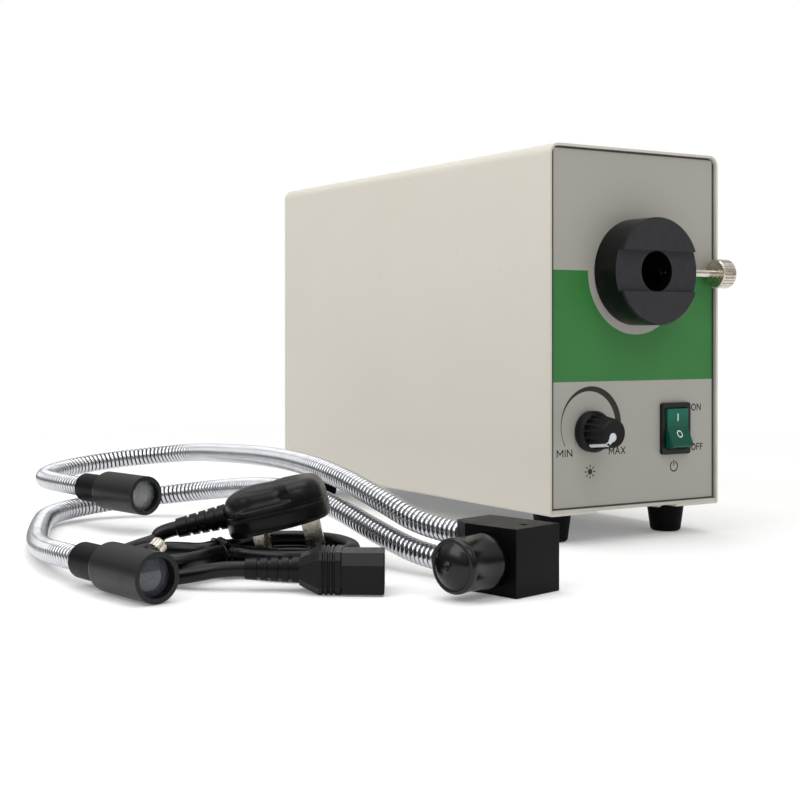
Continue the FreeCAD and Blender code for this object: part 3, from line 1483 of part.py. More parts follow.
# Both goosenecks, from the block to the heads. They are stiff and stand in the shape they are bent to.
upper_route = [
    block_point(0, block_half - hose_seat, hose_high),
    block_point(0, block_half + 22, hose_high),
    (-150, -126, 29),
    (-147, -82, 36),
    (-141, -34, 38),
    (-135, 18, 37),
    (-132, 66, 34.5),
    (-130.2, 115.5, 31.5),
    (-143.5, 139.8, 28.5),
    (-167.9, 152.9, 25.5),
    (-195.5, 150.8, 22.8),
    (-217.5, 134, 20.8),
    head_point("upper", 50),
    head_point("upper", 0),
]
lower_route = [
    block_point(0, block_half - hose_seat, hose_low),
    block_point(0, block_half + 22, hose_low),
    (-151, -127, 14),
    (-150, -84, 22),
    (-147, -42, 25),
    (-148, 2, 22.5),
    (-149.3, 49, 16.5),
    (-164.1, 72.4, 12.5),
    (-188.9, 84.9, 9.5),
    (-216.6, 82.8, 7.2),
    (-239.2, 66.8, 6),
    (-256.1, 28.3, 5.6),
    (-273, -18, 5.6),
    (-281, -54, 7.5),
    head_point("lower", 26),
    head_point("lower", 0),
]
hose = float(hose_diameter)
place_shape("hose_upper", tube_shape("hose_upper", upper_route, hose))
place_shape("hose_lower", tube_shape("hose_lower", lower_route, hose))

sleeve_master = turned(
    "sleeve",
    [
        (hose_diameter / 2 + hose_play, hose_seat),
        (sleeve_diameter / 2 - 1, hose_seat),
        (sleeve_diameter / 2, hose_seat - 1),
        (sleeve_diameter / 2, -sleeve_length),
        (fibre_bore / 2, -sleeve_length),
        (fibre_bore / 2, 0),
        (hose_diameter / 2 + hose_play, 0),
    ],
)
barrel_bore = sleeve_diameter / 2 + barrel_play
lens_seat = head_lens_back - barrel_length
barrel_master = turned(
    "barrel",
    [
        (barrel_bore, 0),
        (barrel_diameter / 2, 0),
        (barrel_diameter / 2, -barrel_length),
        (head_lens / 2, -barrel_length),
        (head_lens / 2, lens_seat),
        (head_lens / 2 - 1.5, lens_seat),
        (head_lens / 2 - 1.5, lens_seat + 1.5),
        (barrel_bore, lens_seat + 1.5),
    ],
)


def is_rim(edge, y, radius):
    """True for the full circle about Y at one height and radius."""
    if not isinstance(edge.Curve, Part.Circle):
        return False
    return abs(edge.CenterOfMass.y - float(y)) < 1e-3 and abs(edge.Curve.Radius - float(radius)) < 1e-3


barrel_radius = barrel_diameter / 2
round_edges(barrel_master, lambda edge: is_rim(edge, 0, barrel_radius), barrel_edge)
boss_sketch = circle(
    new_sketch(barrel_master, "YZ_Plane", barrel_radius - 1.4), -lock_back, 0, lock_head - 1
)
pad(barrel_master, boss_sketch, lock_stand + 1.4, way=1)
lock_hole = circle(
    new_sketch(barrel_master, "YZ_Plane"), -lock_back, 0, lock_thread + 2 * nut_play
)
pocket(barrel_master, lock_hole, barrel_diameter, way=1)

lock_tip = sleeve_diameter / 2 + lock_clear
lock_shank = barrel_radius + lock_stand + 0.4 - lock_tip
lock_master = turned(
    "lock_screw",
    [
        (0, 0),
        (lock_thread / 2, 0),
        (lock_thread / 2, lock_shank),
        (lock_head / 2, lock_shank),
        (lock_head / 2, lock_shank + 3.2),
        (lock_head / 2 - 0.7, lock_shank + 4),
        (0, lock_shank + 4),
    ],
)
lock_groove = polygon(
    new_sketch(lock_master, "XZ_Plane", lock_shank + 4),
    [(-0.35, lock_head / 2 + 0.1), (0, lock_head / 2 - 0.35), (0.35, lock_head / 2 + 0.1)],
)
around(lock_master, pocket(lock_master, lock_groove, 4, way=-1), "Y_Axis", 18)

lens_shape = domed(float(head_lens / 2) - 0.05, 1.2, float(head_lens_thick))
barrel_rear = barrel_cover - sleeve_length
sleeves = []
for side, (end, turn_by, lock_turn) in head_frames.items():
    facing = about_z(turn_by)
    rolled = facing.multiply(Rotation(Vector(0, 1, 0), -lock_turn))
    sleeve = sleeve_master.Shape.copy()
    sleeve.Placement = Placement(end, facing)
    sleeves.append(sleeve)
    barrel_at = head_point(side, barrel_rear)
    place_shape(f"lens_barrel_{side}", barrel_master.Shape.copy(), *barrel_at, rolled)
    lens_at = head_point(side, barrel_rear + lens_seat)
    place_shape(f"head_lens_{side}", lens_shape.copy(), *lens_at, facing)
    outward = rolled.multVec(Vector(float(lock_tip), 0, 0))
    lock_at = Vector(*head_point(side, barrel_rear - lock_back)) + outward
    screw_turn = rolled.multiply(about_z(-90))
    place_shape(f"lock_screw_{side}", lock_master.Shape.copy(), *lock_at, screw_turn)
place_shape("head_sleeves", Part.makeCompound(sleeves))

# ---- Mains lead -------------------------------------------------------------------------------------------
# The lead lies coiled beside the case: two loops with a tied waist, the plug standing on its pins over the
# right one. Its own frame has its first axis along the coil, left to right as seen from the front corner.

lead_x = cell("lead_x", -217, "middle of the coiled lead")
lead_y = cell("lead_y", -112, "middle of the coiled lead")
lead_angle = cell("lead_angle", -33, "turn of the coiled lead, degrees")
cord_diameter = cell("cord_diameter", 6.5, "mains cord")
hank_height = cell("hank_height", 14, "coil, two layers of cord")
hank_band = cell("hank_band", 13.4, "width of a band of the coil")
loop_left = cell("loop_left", 24, "outer radius of the left loop")
loop_right = cell("loop_right", 33.5, "outer radius of the right loop")
left_a = cell("left_a", -24, "left loop, along the coil")
left_b = cell("left_b", -10.5, "left loop, across the coil")
right_a = cell("right_a", 24, "right loop, along the coil")
right_b = cell("right_b", 9.5, "right loop, across the coil")
tie_span = cell("tie_span", 28, "inside of the tie, across the coil")
tie_width = cell("tie_width", 7, "width of the tie")
tie_thick = cell("tie_thick", 1, "thickness of the tie")
lead_turn = about_z(lead_angle)


def lead_point(along_it, across_it, up):
    """A point of the lead's own frame, in the frame of the part."""
    moved = lead_turn.multVec(Vector(float(along_it), float(across_it), float(up)))
    return (moved.x + float(lead_x), moved.y + float(lead_y), moved.z)


hank_tall = float(hank_height)
hank = None
for middle_a, middle_b, outer in ((left_a, left_b, loop_left), (right_a, right_b, loop_right)):
    at = Vector(float(middle_a), float(middle_b), 0)
    disc = Part.makeCylinder(float(outer), hank_tall, at)
    hank = disc if hank is None else hank.fuse(disc)
for middle_a, middle_b, outer in ((left_a, left_b, loop_left), (right_a, right_b, loop_right)):
    at = Vector(float(middle_a), float(middle_b), -1)
    hank = hank.cut(Part.makeCylinder(float(outer - hank_band), hank_tall + 2, at))
loops = Vector(float(right_a - left_a), float(right_b - left_b), 0)
tie_turn = about_z(math.degrees(math.atan2(loops.y, loops.x)))
pinch = (loops.Length**2 + float(loop_left) ** 2 - float(loop_right) ** 2) / (2 * loops.Length)
tie_middle = Vector(float(left_a), float(left_b), 0) + loops.normalize() * pinch
tie_half = float(tie_width) / 2
tie_skin = float(tie_thick)
tie_inside = float(tie_span) / 2
cord_stack = 2 * float(cord_diameter)


def tie_box(across, low, high):
    """A box as wide as the tie at the coil's waist."""
    box = Part.makeBox(2 * tie_half, 2 * across, high - low, Vector(-tie_half, -across, low))
    box.Placement = Placement(tie_middle, tie_turn)
    return box


tie_inner = tie_box(tie_inside, tie_skin, tie_skin + cord_stack)
tie_outer = tie_box(tie_inside + tie_skin, 0, 2 * tie_skin + cord_stack)
hank = hank.cut(tie_box(60, -1, 60)).fuse(tie_inner)
place_shape("lead_hank", hank, lead_x, lead_y, 0, lead_turn)
place_shape("lead_tie", tie_outer.cut(tie_inner), lead_x, lead_y, 0, lead_turn)

# The plug stands on three pins of two lengths, so it leans back towards its cord.
line_pin = cell("line_pin", 17.7, "length of the line and neutral pins")
earth_pin = cell("earth_pin", 22.7, "length of the earth pin")
line_wide = cell("line_wide", 6.35, "width of a line pin")
line_thick = cell("line_thick", 4, "thickness of a line pin")
earth_wide = cell("earth_wide", 4, "thickness of the earth pin")
earth_deep = cell("earth_deep", 8, "width of the earth pin")
pin_spacing = cell("pin_spacing", 22.2, "line pin to neutral pin, and both to earth")
plug_width = cell("plug_width", 46, "plug, across")
plug_front = cell("plug_front", 32, "plug, from the line pins to the earth side")
plug_rear = cell("plug_rear", 13, "plug, from the line pins to the cord side")
plug_thick = cell("plug_thick", 19, "thickness of the plug")
pins_back = cell("pins_back", 8.6, "line pins, from the middle of the right loop")
relief_length = cell("relief_length", 22, "strain relief of plug and connector")
relief_root = cell("relief_root", 11, "strain relief at the plug")
relief_tip = cell("relief_tip", 8.4, "strain relief at its end")

lean = math.atan(
    float(earth_pin - line_pin) / float(pin_spacing - earth_deep / 2 + line_thick / 2)
)
plug_turn = lead_turn.multiply(Rotation(Vector(0, 1, 0), -math.degrees(lean)))
plug_a = right_a - pins_back
plug_lift = float(line_thick) / 2 * math.sin(lean)
plug_at = lead_point(plug_a, right_b, plug_lift)

plug_body = new_body("plug_blank")
plug_half = plug_width / 2
plug_outline = polygon(
    new_sketch(plug_body, "XY_Plane", line_pin),
    [
        (-plug_rear, -plug_half + 11),
        (-plug_rear + 9, -plug_half),
        (plug_front - 12, -plug_half),
        (plug_front, -plug_half + 10),
        (plug_front, plug_half - 10),
        (plug_front - 12, plug_half),
        (-plug_rear + 9, plug_half),
        (-plug_rear, plug_half - 11),
    ],
)
pad(plug_body, plug_outline, plug_thick)
round_edges(plug_body, lambda edge: along(edge, (0, 0, 1)), 5)
plug_top = line_pin + plug_thick
round_edges(plug_body, lambda edge: abs(edge.CenterOfMass.z - float(plug_top)) < 1e-3, 3)
place_shape("plug_body", plug_body.Shape.copy(), *plug_at, plug_turn)

pin_row = float(pin_spacing)
line_tall = float(line_pin)
pins = []
for across_it in (-pin_row / 2, pin_row / 2):
    corner = Vector(-float(line_thick) / 2, across_it - float(line_wide) / 2, 0)
    pins.append(Part.makeBox(float(line_thick), float(line_wide), line_tall, corner))
earth_low = float(line_pin - earth_pin)
earth_corner = Vector(pin_row - float(earth_deep) / 2, -float(earth_wide) / 2, earth_low)
pins.append(Part.makeBox(float(earth_deep), float(earth_wide), float(earth_pin), earth_corner))
place_shape("plug_pins", Part.makeCompound(pins), *plug_at, plug_turn)


def relief_shape():
    """A tapered strain relief with four grooves, from y = 0."""
    long = float(relief_length)
    root = float(relief_root) / 2
    tip = float(relief_tip) / 2
    cone = Part.makeCone(root, tip, long, Vector(0, 0, 0), Vector(0, 1, 0))
    for n in range(4):
        at = 3 + n * (long - 5) / 4
        radius = root + (tip - root) * at / long
        ring = Part.makeCylinder(root + 1, 1.5, Vector(0, at, 0), Vector(0, 1, 0))
        core = Part.makeCylinder(radius - 0.9, 1.5, Vector(0, at, 0), Vector(0, 1, 0))
        cone = cone.cut(ring.cut(core))
    return cone


cord_up = float(line_pin) + float(plug_thick) / 2 - 0.5
relief_start = Vector(-float(plug_rear), 0, cord_up)
relief_world = plug_turn.multVec(relief_start) + Vector(*plug_at)
relief_turn = plug_turn.multiply(about_z(90))
plug_relief = relief_shape()
plug_relief.Placement = Placement(relief_world, relief_turn)

nose_length = cell("nose_length", 17, "nose of the connector")
nose_width = cell("nose_width", 23.6, "nose of the connector, across")
nose_height = cell("nose_height", 15.9, "nose of the connector, upright")
grip_length = cell("grip_length", 17, "grip of the connector")
grip_width = cell("grip_width", 24.6, "grip of the connector, across")
grip_height = cell("grip_height", 17, "grip of the connector, upright")
connector_a = cell("connector_a", 32, "rear of the connector, along the coil")
connector_b = cell("connector_b", -38, "connector, across the coil")

connector = new_body("connector_blank")
grip_half = grip_width / 2
grip_sketch = rectangle(
    new_sketch(connector, "YZ_Plane"), -grip_half, grip_half, 0, grip_height
)
pad(connector, grip_sketch, grip_length)
round_edges(connector, lambda edge: along(edge, (1, 0, 0)), 3)
nose_half = nose_width / 2
nose_low = (grip_height - nose_height) / 2
nose_top = nose_low + nose_height
nose_sketch = polygon(
    new_sketch(connector, "YZ_Plane", grip_length),
    [
        (-nose_half, nose_low),
        (nose_half, nose_low),
        (nose_half, nose_top - bevel),
        (nose_half - bevel, nose_top),
        (-nose_half + bevel, nose_top),
        (-nose_half, nose_top - bevel),
    ],
)
pad(connector, nose_sketch, nose_length)
contact_sketch = new_sketch(connector, "YZ_Plane", grip_length + nose_length)
for across_it, up in ((-7, 6.2), (7, 6.2), (0, 10.2)):
    rectangle(contact_sketch, across_it - 1.3, across_it + 1.3, up - 2.4, up + 2.4)
pocket(connector, contact_sketch, nose_length - 2, way=-1)
place_shape(
    "connector_c13", connector.Shape.copy(), *lead_point(connector_a, connector_b, 0), lead_turn
)
connector_cord = grip_height / 2
relief_at = lead_point(connector_a, connector_b, connector_cord)
relief_back = lead_turn.multiply(about_z(90))
connector_relief = relief_shape()
connector_relief.Placement = Placement(Vector(*relief_at), relief_back)
place_shape("strain_reliefs", Part.makeCompound([plug_relief, connector_relief]))

cord = float(cord_diameter)
relief_end = relief_world + relief_turn.multVec(Vector(0, float(relief_length), 0))
onward = relief_end + relief_turn.multVec(Vector(0, 10.5, 0))
plug_tail = [(relief_end.x, relief_end.y, relief_end.z), (onward.x, onward.y, onward.z)]
cord_lie = cord_diameter / 2 + 0.05
connector_tail = [
    lead_point(connector_a - relief_length, connector_b, connector_cord),
    lead_point(connector_a - relief_length - 9, connector_b, connector_cord),
    lead_point(-13, -36.2, 5.4),
    lead_point(-22, -34, cord_lie),
]
tails = [
    tube_shape("lead_tails, plug", plug_tail, cord),
    tube_shape("lead_tails, connector", connector_tail, cord),
]
place_shape("lead_tails", Part.makeCompound(tails))

# ---- Output -----------------------------------------------------------------------------------------------

doc.recompute()
for item in doc.Objects:
    if any(word in item.State for word in ("Invalid", "Error")):
        raise ValueError(f"{item.Label}: {item.State}")
os.makedirs("parts", exist_ok=True)
for piece in pieces:
    shape = piece.Shape
    if shape.isNull() or not shape.isValid() or not shape.Solids:
        raise ValueError(f"{piece.Label} is not a valid solid")
    shape.exportStep(f"parts/{piece.Label}.step")
print(len(pieces), "pieces")
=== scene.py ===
"""Fibre optic illuminator: a bench light source, its two-arm light guide and its mains lead."""

import math

import bmesh
import bpy
from mathutils import Matrix, Vector


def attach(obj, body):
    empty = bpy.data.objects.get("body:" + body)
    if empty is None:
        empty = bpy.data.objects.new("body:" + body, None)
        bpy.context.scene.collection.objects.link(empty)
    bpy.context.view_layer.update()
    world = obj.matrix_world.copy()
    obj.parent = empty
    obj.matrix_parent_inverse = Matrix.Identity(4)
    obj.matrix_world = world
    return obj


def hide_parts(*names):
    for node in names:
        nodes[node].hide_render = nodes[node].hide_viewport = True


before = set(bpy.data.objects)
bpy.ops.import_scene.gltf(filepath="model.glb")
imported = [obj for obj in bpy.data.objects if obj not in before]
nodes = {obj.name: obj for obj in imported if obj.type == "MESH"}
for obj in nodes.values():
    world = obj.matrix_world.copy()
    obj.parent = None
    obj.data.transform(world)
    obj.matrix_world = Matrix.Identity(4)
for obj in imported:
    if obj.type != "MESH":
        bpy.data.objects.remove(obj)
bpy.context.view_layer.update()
scene = bpy.context.scene
scene.view_settings.view_transform = "Standard"


# ---- Camera -----------------------------------------------------------------------------------------------
# A level camera stands to the left of the case's front, at the height of its middle. The view is shifted
# down and aside, so that the upright edges stay upright.
camera = bpy.data.objects.new("camera", bpy.data.cameras.new("camera"))
scene.collection.objects.link(camera)
camera.location = (-0.479, -0.6475, 0.1035)
camera.rotation_euler = (math.radians(90), 0, math.radians(-30.28))
camera.data.lens = 62.23
camera.data.shift_x = 0.0826
camera.data.shift_y = -0.0842
camera.data.clip_end = 50
scene.camera = camera


# ---- Chassis base, bracket and nuts -----------------------------------------------------------------------
# The base is a tray of galvanised sheet with a lip at each end. The bracket inside it is folded from the
# same sheet, and nuts hold both. The zinc shows as flat crystals of different greys, and the base's lips
# have the case's paint.
class Value:
    """A shader socket that takes plain arithmetic."""

    def __init__(self, tree, socket):
        self.tree = tree
        self.socket = socket

    def math(self, operation, *terms):
        node = self.tree.nodes.new("ShaderNodeMath")
        node.operation = operation
        for end, term in zip(node.inputs, terms):
            if isinstance(term, Value):
                self.tree.links.new(term.socket, end)
            else:
                end.default_value = term
        return Value(self.tree, node.outputs[0])

    def __add__(self, other):
        return self.math("ADD", self, other)

    def __sub__(self, other):
        return self.math("SUBTRACT", self, other)

    def __rsub__(self, other):
        return self.math("SUBTRACT", other, self)

    def __mul__(self, other):
        return self.math("MULTIPLY", self, other)

    def __pow__(self, other):
        return self.math("POWER", self, other)

    def __mod__(self, other):
        return self.math("FLOORED_MODULO", self, other)

    def __lt__(self, other):
        return self.math("LESS_THAN", self, other)

    def __gt__(self, other):
        return self.math("GREATER_THAN", self, other)

    def __or__(self, other):
        return self.math("MAXIMUM", self, other)

    def __and__(self, other):
        return self.math("MINIMUM", self, other)

    def __abs__(self):
        return self.math("ABSOLUTE", self)

    __radd__ = __add__
    __rmul__ = __mul__

    def wave(self, length):
        """0 to 1 and back once in each length."""
        return self.math("SINE", self * (2 * math.pi / length)) * 0.5 + 0.5

    def rise(self, start, end):
        """0 up to start, 1 from end on."""
        node = self.tree.nodes.new("ShaderNodeMapRange")
        node.interpolation_type = "SMOOTHSTEP"
        self.tree.links.new(self.socket, node.inputs[0])
        node.inputs[1].default_value = start
        node.inputs[2].default_value = end
        return Value(self.tree, node.outputs[0])

    def under(self, limit, soft=0.00006):
        """1 below the limit, 0 above it, with a soft step."""
        return 1 - self.rise(limit - soft, limit + soft)

    def within(self, low, high, soft=0.00006):
        """1 between low and high, 0 outside."""
        return self.rise(low - soft, low + soft) * self.under(high, soft)


def srgb(red, green, blue):
    """A linear colour from 0 to 255 levels."""
    parts = [level / 255 for level in (red, green, blue)]
    return (*[p / 12.92 if p <= 0.04045 else ((p + 0.055) / 1.055) ** 2.4 for p in parts], 1)


def times(colour, factor):
    """The colour made lighter or darker."""
    return (*[part * factor for part in colour[:3]], 1)


class Finish:
    """One material, with its patterns in object coordinates."""

    def __init__(self, slot, colour, roughness, metallic=0.0, **fixed):
        self.slot = slot
        self.material = bpy.data.materials.new(slot)
        self.material.use_nodes = True
        self.tree = self.material.node_tree
        self.surface = self.tree.nodes["Principled BSDF"]
        self.place = self.value(self.node("TexCoord"), "Object")
        self.set("Base Color", colour)
        self.set("Roughness", roughness)
        self.set("Metallic", metallic)
        for socket, number in fixed.items():
            self.set(socket.replace("_", " "), number)

    def feed(self, end, term):
        if isinstance(term, Value):
            self.tree.links.new(term.socket, end)
        else:
            end.default_value = term

    def set(self, socket, term):
        self.feed(self.surface.inputs[socket], term)

    def node(self, kind, inputs=None, **settings):
        made = self.tree.nodes.new("ShaderNode" + kind)
        for name, setting in settings.items():
            setattr(made, name, setting)
        for end, term in (inputs or {}).items():
            self.feed(made.inputs[end], term)
        return made

    def value(self, node, output=0):
        return Value(self.tree, node.outputs[output])

    def axes(self):
        parts = self.node("SeparateXYZ", {"Vector": self.place})
        return [self.value(parts, n) for n in range(3)]

    def noise(self, size, detail=2):
        """Soft noise around 0.5 with blotches of that size in metres."""
        inputs = {"Vector": self.place, "Scale": 1 / size, "Detail": detail}
        return self.value(self.node("TexNoise", inputs))

    def cells(self, size, output="Distance", feature="F1"):
        """Cells of that size in metres: the distance from each one's middle, or its colour."""
        inputs = {"Vector": self.place, "Scale": 1 / size}
        return self.value(self.node("TexVoronoi", inputs, feature=feature), output)

    def mix(self, factor, low, high):
        return self.value(self.node("Mix", {0: factor, 6: low, 7: high}, data_type="RGBA"), 2)

    def from_axis(self, x, z):
        """The distance from an axis that runs front to back."""
        across, _, up = self.axes()
        return ((across - x) ** 2 + (up - z) ** 2) ** 0.5

    def edges(self, radius=0.0006):
        """1 along outer and inner edges, 0 on flat ground."""
        soft = self.value(self.node("Bevel", {"Radius": radius}, samples=6))
        hard = self.value(self.node("NewGeometry"), "Normal")
        dot = self.value(self.node("VectorMath", {0: soft, 1: hard}, operation="DOT_PRODUCT"), "Value")
        return (1 - dot) * 6 & 1.0

    def bump(self, height, depth, edge=0.0003):
        """Relief of that depth in metres, over edges rounded to a small radius."""
        inputs = {"Height": height, "Distance": depth, "Strength": 1.0}
        if edge:
            inputs["Normal"] = self.value(self.node("Bevel", {"Radius": edge}, samples=6))
        self.set("Normal", self.value(self.node("Bump", inputs)))

    def onto(self, *pieces):
        """The material goes onto these pieces or CAD nodes, in place of what they have."""
        for piece in pieces:
            thing = nodes[piece] if isinstance(piece, str) else piece
            thing.data.materials.clear()
            thing.data.materials.append(self.material)


def metal(slot, dark, light, smooth, rough, patch):
    """Bare or plated metal, a little uneven in colour and polish."""
    finish = Finish(slot, dark, smooth, 1.0)
    patches = finish.noise(patch, 3).rise(0.3, 0.7)
    finish.set("Base Color", finish.mix(patches, dark, light))
    finish.set("Roughness", smooth + patches * (rough - smooth))
    finish.bump(finish.noise(patch / 10, 2), 0.000003, 0.0002)
    return finish


case_middle = 0.0065
for sheet, painted_from in (("chassis_base", 0.1255), ("engine_bracket", 1.0)):
    galvanised = Finish("galvanised", srgb(160, 163, 166), 0.4, 1.0)
    spangle = galvanised.cells(0.007, "Color")
    _, sheet_y, _ = galvanised.axes()
    lip = abs(sheet_y - case_middle).rise(painted_from, painted_from + 0.0002)
    zinc_tone = galvanised.mix(spangle, srgb(146, 150, 155), srgb(188, 190, 191))
    galvanised.set("Base Color", galvanised.mix(lip, zinc_tone, srgb(200, 196, 185)))
    galvanised.set("Metallic", 1 - lip)
    galvanised.set("Roughness", 0.3 + spangle * 0.25 + lip * 0.1)
    galvanised.bump(galvanised.cells(0.007) + galvanised.noise(0.0011) * lip, 0.00002)
    galvanised.onto(sheet)

zinc = metal("zinc_steel", srgb(168, 170, 168), srgb(205, 205, 198), 0.22, 0.42, 0.003)
zinc.onto("m3_nuts", "m4_nuts")


# ---- Driver board -----------------------------------------------------------------------------------------
# A green circuit board stands on four posts. It carries the transformer, with its laminations and taped
# winding, and three capacitors in blue sleeves.
solder_mask = Finish("board_green", srgb(16, 84, 46), 0.35, Coat_Weight=0.3)
tracks = solder_mask.cells(0.006, feature="DISTANCE_TO_EDGE").under(0.07, 0.02)
pads = solder_mask.cells(0.0045).under(0.1, 0.02)
green = solder_mask.mix(tracks, srgb(14, 78, 43), srgb(40, 122, 66))
solder_mask.set("Base Color", solder_mask.mix(pads, green, srgb(196, 198, 196)))
solder_mask.set("Metallic", pads)
solder_mask.bump(tracks, 0.00004)
solder_mask.onto("driver_board")
zinc.onto("board_standoffs", "board_screws")

core = Finish("core_steel", srgb(120, 122, 126), 0.45)
core_middle = 0.0465
_, core_y, _ = core.axes()
sheets = core_y.wave(0.0007)
tape = abs(core_y - core_middle).rise(0.01301, 0.01304)
steel = core.mix(sheets, srgb(92, 94, 98), srgb(142, 143, 145))
core.set("Base Color", core.mix(tape, steel, srgb(206, 168, 52)))
core.set("Metallic", 1 - tape)
core.bump(sheets * (1 - tape), 0.00006)
core.onto("transformer")

sleeve = Finish("can_blue", srgb(28, 44, 110), 0.28, Coat_Weight=0.4)
can_x, can_y, can_z = sleeve.axes()
can_spacing = 0.019
can_front = (can_y - 0.001) % can_spacing - can_spacing / 2
can_side = can_x - 0.02
bare = can_z.rise(0.0512, 0.0514) * ((can_side**2 + can_front**2) ** 0.5).under(0.0068)
stripe = can_side.under(-0.0055, 0.0002)
wrap = sleeve.mix(stripe, srgb(24, 38, 104), srgb(176, 182, 200))
sleeve.set("Base Color", sleeve.mix(bare, wrap, srgb(196, 198, 200)))
sleeve.set("Metallic", bare)
cross = abs(can_side).under(0.0002) | abs(can_front).under(0.0002)
sleeve.bump(1 - cross * bare, 0.0001)
sleeve.onto("capacitors")


# ---- LED engine -------------------------------------------------------------------------------------------
# The LED sits on a round board that is bolted to a finned heat sink, and its light goes through a thick
# condenser lens in a black tube.
light_axis_x = 0
light_axis_z = 0.1336


def turned(slot, colour, x, z, smooth=0.3, rough=0.46, pitch=0.00035):
    """Black anodised metal with the fine rings that a lathe leaves about an axis. Faces turned to the front
    are painted lighter as painted light, and its edges carry a painted highlight.
    """
    finish = Finish(slot, colour, smooth, Specular_IOR_Level=0.18)
    rings = finish.from_axis(x, z).wave(pitch)
    cloud = finish.noise(0.004, 3)
    normal = finish.value(finish.node("NewGeometry"), "Normal")
    # Faces whose normal points to the front get a lighter colour as painted light, and the paler edges are a
    # painted highlight.
    painted_lit_front = finish.value(finish.node("SeparateXYZ", {0: normal}), 1) < -0.9
    painted_front_light = finish.mix(cloud, times(colour, 10), times(colour, 16))
    tone = finish.mix(painted_lit_front, colour, painted_front_light)
    finish.set("Base Color", finish.mix(finish.edges(0.0003) * 0.5, tone, srgb(62, 62, 64)))
    finish.set("Roughness", smooth + cloud * (rough - smooth))
    finish.bump(rings + cloud * 0.5, 0.000012)
    return finish


def anodised(dark=srgb(11, 11, 12), worn=srgb(46, 46, 48)):
    """Satin black anodised aluminium, paler where its edges are rubbed."""
    finish = Finish("black_anodised", dark, 0.36, Specular_IOR_Level=0.09)
    cloud = finish.noise(0.005, 4)
    finish.set("Base Color", finish.mix(finish.edges(0.00035) * cloud.rise(0.35, 0.6), dark, worn))
    finish.set("Roughness", 0.3 + cloud * 0.2)
    finish.bump(finish.noise(0.00025, 2), 0.00001)
    return finish


anodised().onto("heat_sink")
turned("black_anodised", srgb(9, 9, 10), light_axis_x, light_axis_z).onto("lens_tube")
led = Finish("board_white", srgb(232, 232, 228), 0.4)
led_off = led.from_axis(light_axis_x, light_axis_z)
ring = led_off.within(0.0088, 0.0096)
white = led.mix(ring, srgb(228, 228, 222), srgb(196, 158, 84))
led.set("Base Color", led.mix(led_off.under(0.0052), white, srgb(238, 206, 66)))
led.set("Metallic", ring)
led.bump(led_off.under(0.0052, 0.0003), 0.0002)
led.onto("led_board")


def glass(slot, tint, clear=1.0):
    """Clear glass with a trace of dust."""
    finish = Finish(slot, tint, 0.02, Transmission_Weight=clear, IOR=1.52)
    finish.set("Roughness", finish.noise(0.002, 4).rise(0.45, 0.8) * 0.06 + 0.012)
    return finish


glass("lens_glass", srgb(240, 246, 243)).onto("condenser_lens")


# ---- Cooling fan ------------------------------------------------------------------------------------------
# Seven lofted blades turn in a square frame of black plastic, behind a guard of plated wire rings. Four
# long screws hold frame and guard to the rear panel.
def moulded(slot, colour, smooth, rough, grain=0.0004, depth=0.00001, **fixed):
    """Moulded plastic or rubber with a fine matt grain."""
    finish = Finish(slot, colour, smooth, **fixed)
    cloud = finish.noise(0.006, 3)
    finish.set("Base Color", finish.mix(cloud.rise(0.35, 0.75) * 0.6, colour, times(colour, 1.6)))
    finish.set("Roughness", smooth + cloud * (rough - smooth))
    finish.bump(finish.noise(grain, 2), depth)
    return finish


nylon = moulded("knob_black", srgb(20, 20, 21), 0.34, 0.56, Specular_IOR_Level=0.4)
nylon.onto("fan_frame", "fan_rotor")
nickel = metal("nickel", srgb(198, 191, 178), srgb(222, 216, 203), 0.16, 0.3, 0.0025)
nickel.onto("fan_guard")
zinc.onto("fan_screws")


# ---- Mains inlet ------------------------------------------------------------------------------------------
# The appliance inlet is moulded plastic, screwed into the rear panel. Its three blades are plated brass, and
# the glass fuse lies in a drawer under them.
nylon.onto("mains_inlet", "fuse_drawer")
brass = metal("brass_plated", srgb(186, 152, 76), srgb(222, 194, 120), 0.2, 0.4, 0.002)
brass.onto("inlet_pins")
zinc.onto("inlet_screws")
tube = Finish("lens_glass", srgb(235, 238, 236), 0.05, Transmission_Weight=1.0, IOR=1.5)
tube_x, _, _ = tube.axes()
tube.set("Metallic", abs(tube_x - 0.016).rise(0.0048, 0.005))
tube.set("Roughness", 0.04 + tube.noise(0.001, 2) * 0.2)
tube.onto("fuse")


# ---- Rear panel and cover ---------------------------------------------------------------------------------
# Both are steel sheet with a beige powder coat that has a fine orange peel. The cover is one sheet folded
# over the case, and the coat is thinner and paler where hands rub its edges.
def powder_coat(slot, low, high):
    """Powder coat in clouds between two tones, with specks, orange peel and rubbed edges."""
    finish = Finish(slot, low, 0.46)
    cloud = finish.noise(0.07, 4)
    peel = finish.noise(0.0011, 3)
    rub = finish.edges(0.0009) * finish.noise(0.02, 3).rise(0.35, 0.65)
    tone = finish.mix(cloud * 0.7, low, high)
    speck = finish.noise(0.0035, 2).rise(0.72, 0.76)
    tone = finish.mix(speck * 0.35, tone, times(low, 0.7))
    finish.set("Base Color", finish.mix(rub * 0.5, tone, srgb(228, 225, 216)))
    finish.set("Roughness", 0.4 + peel * 0.14 + cloud * 0.06)
    finish.bump(peel, 0.00003, 0.0006)
    return finish


powder_coat("cover_paint", srgb(208, 203, 191), srgb(215, 211, 200)).onto("cover", "rear_panel")


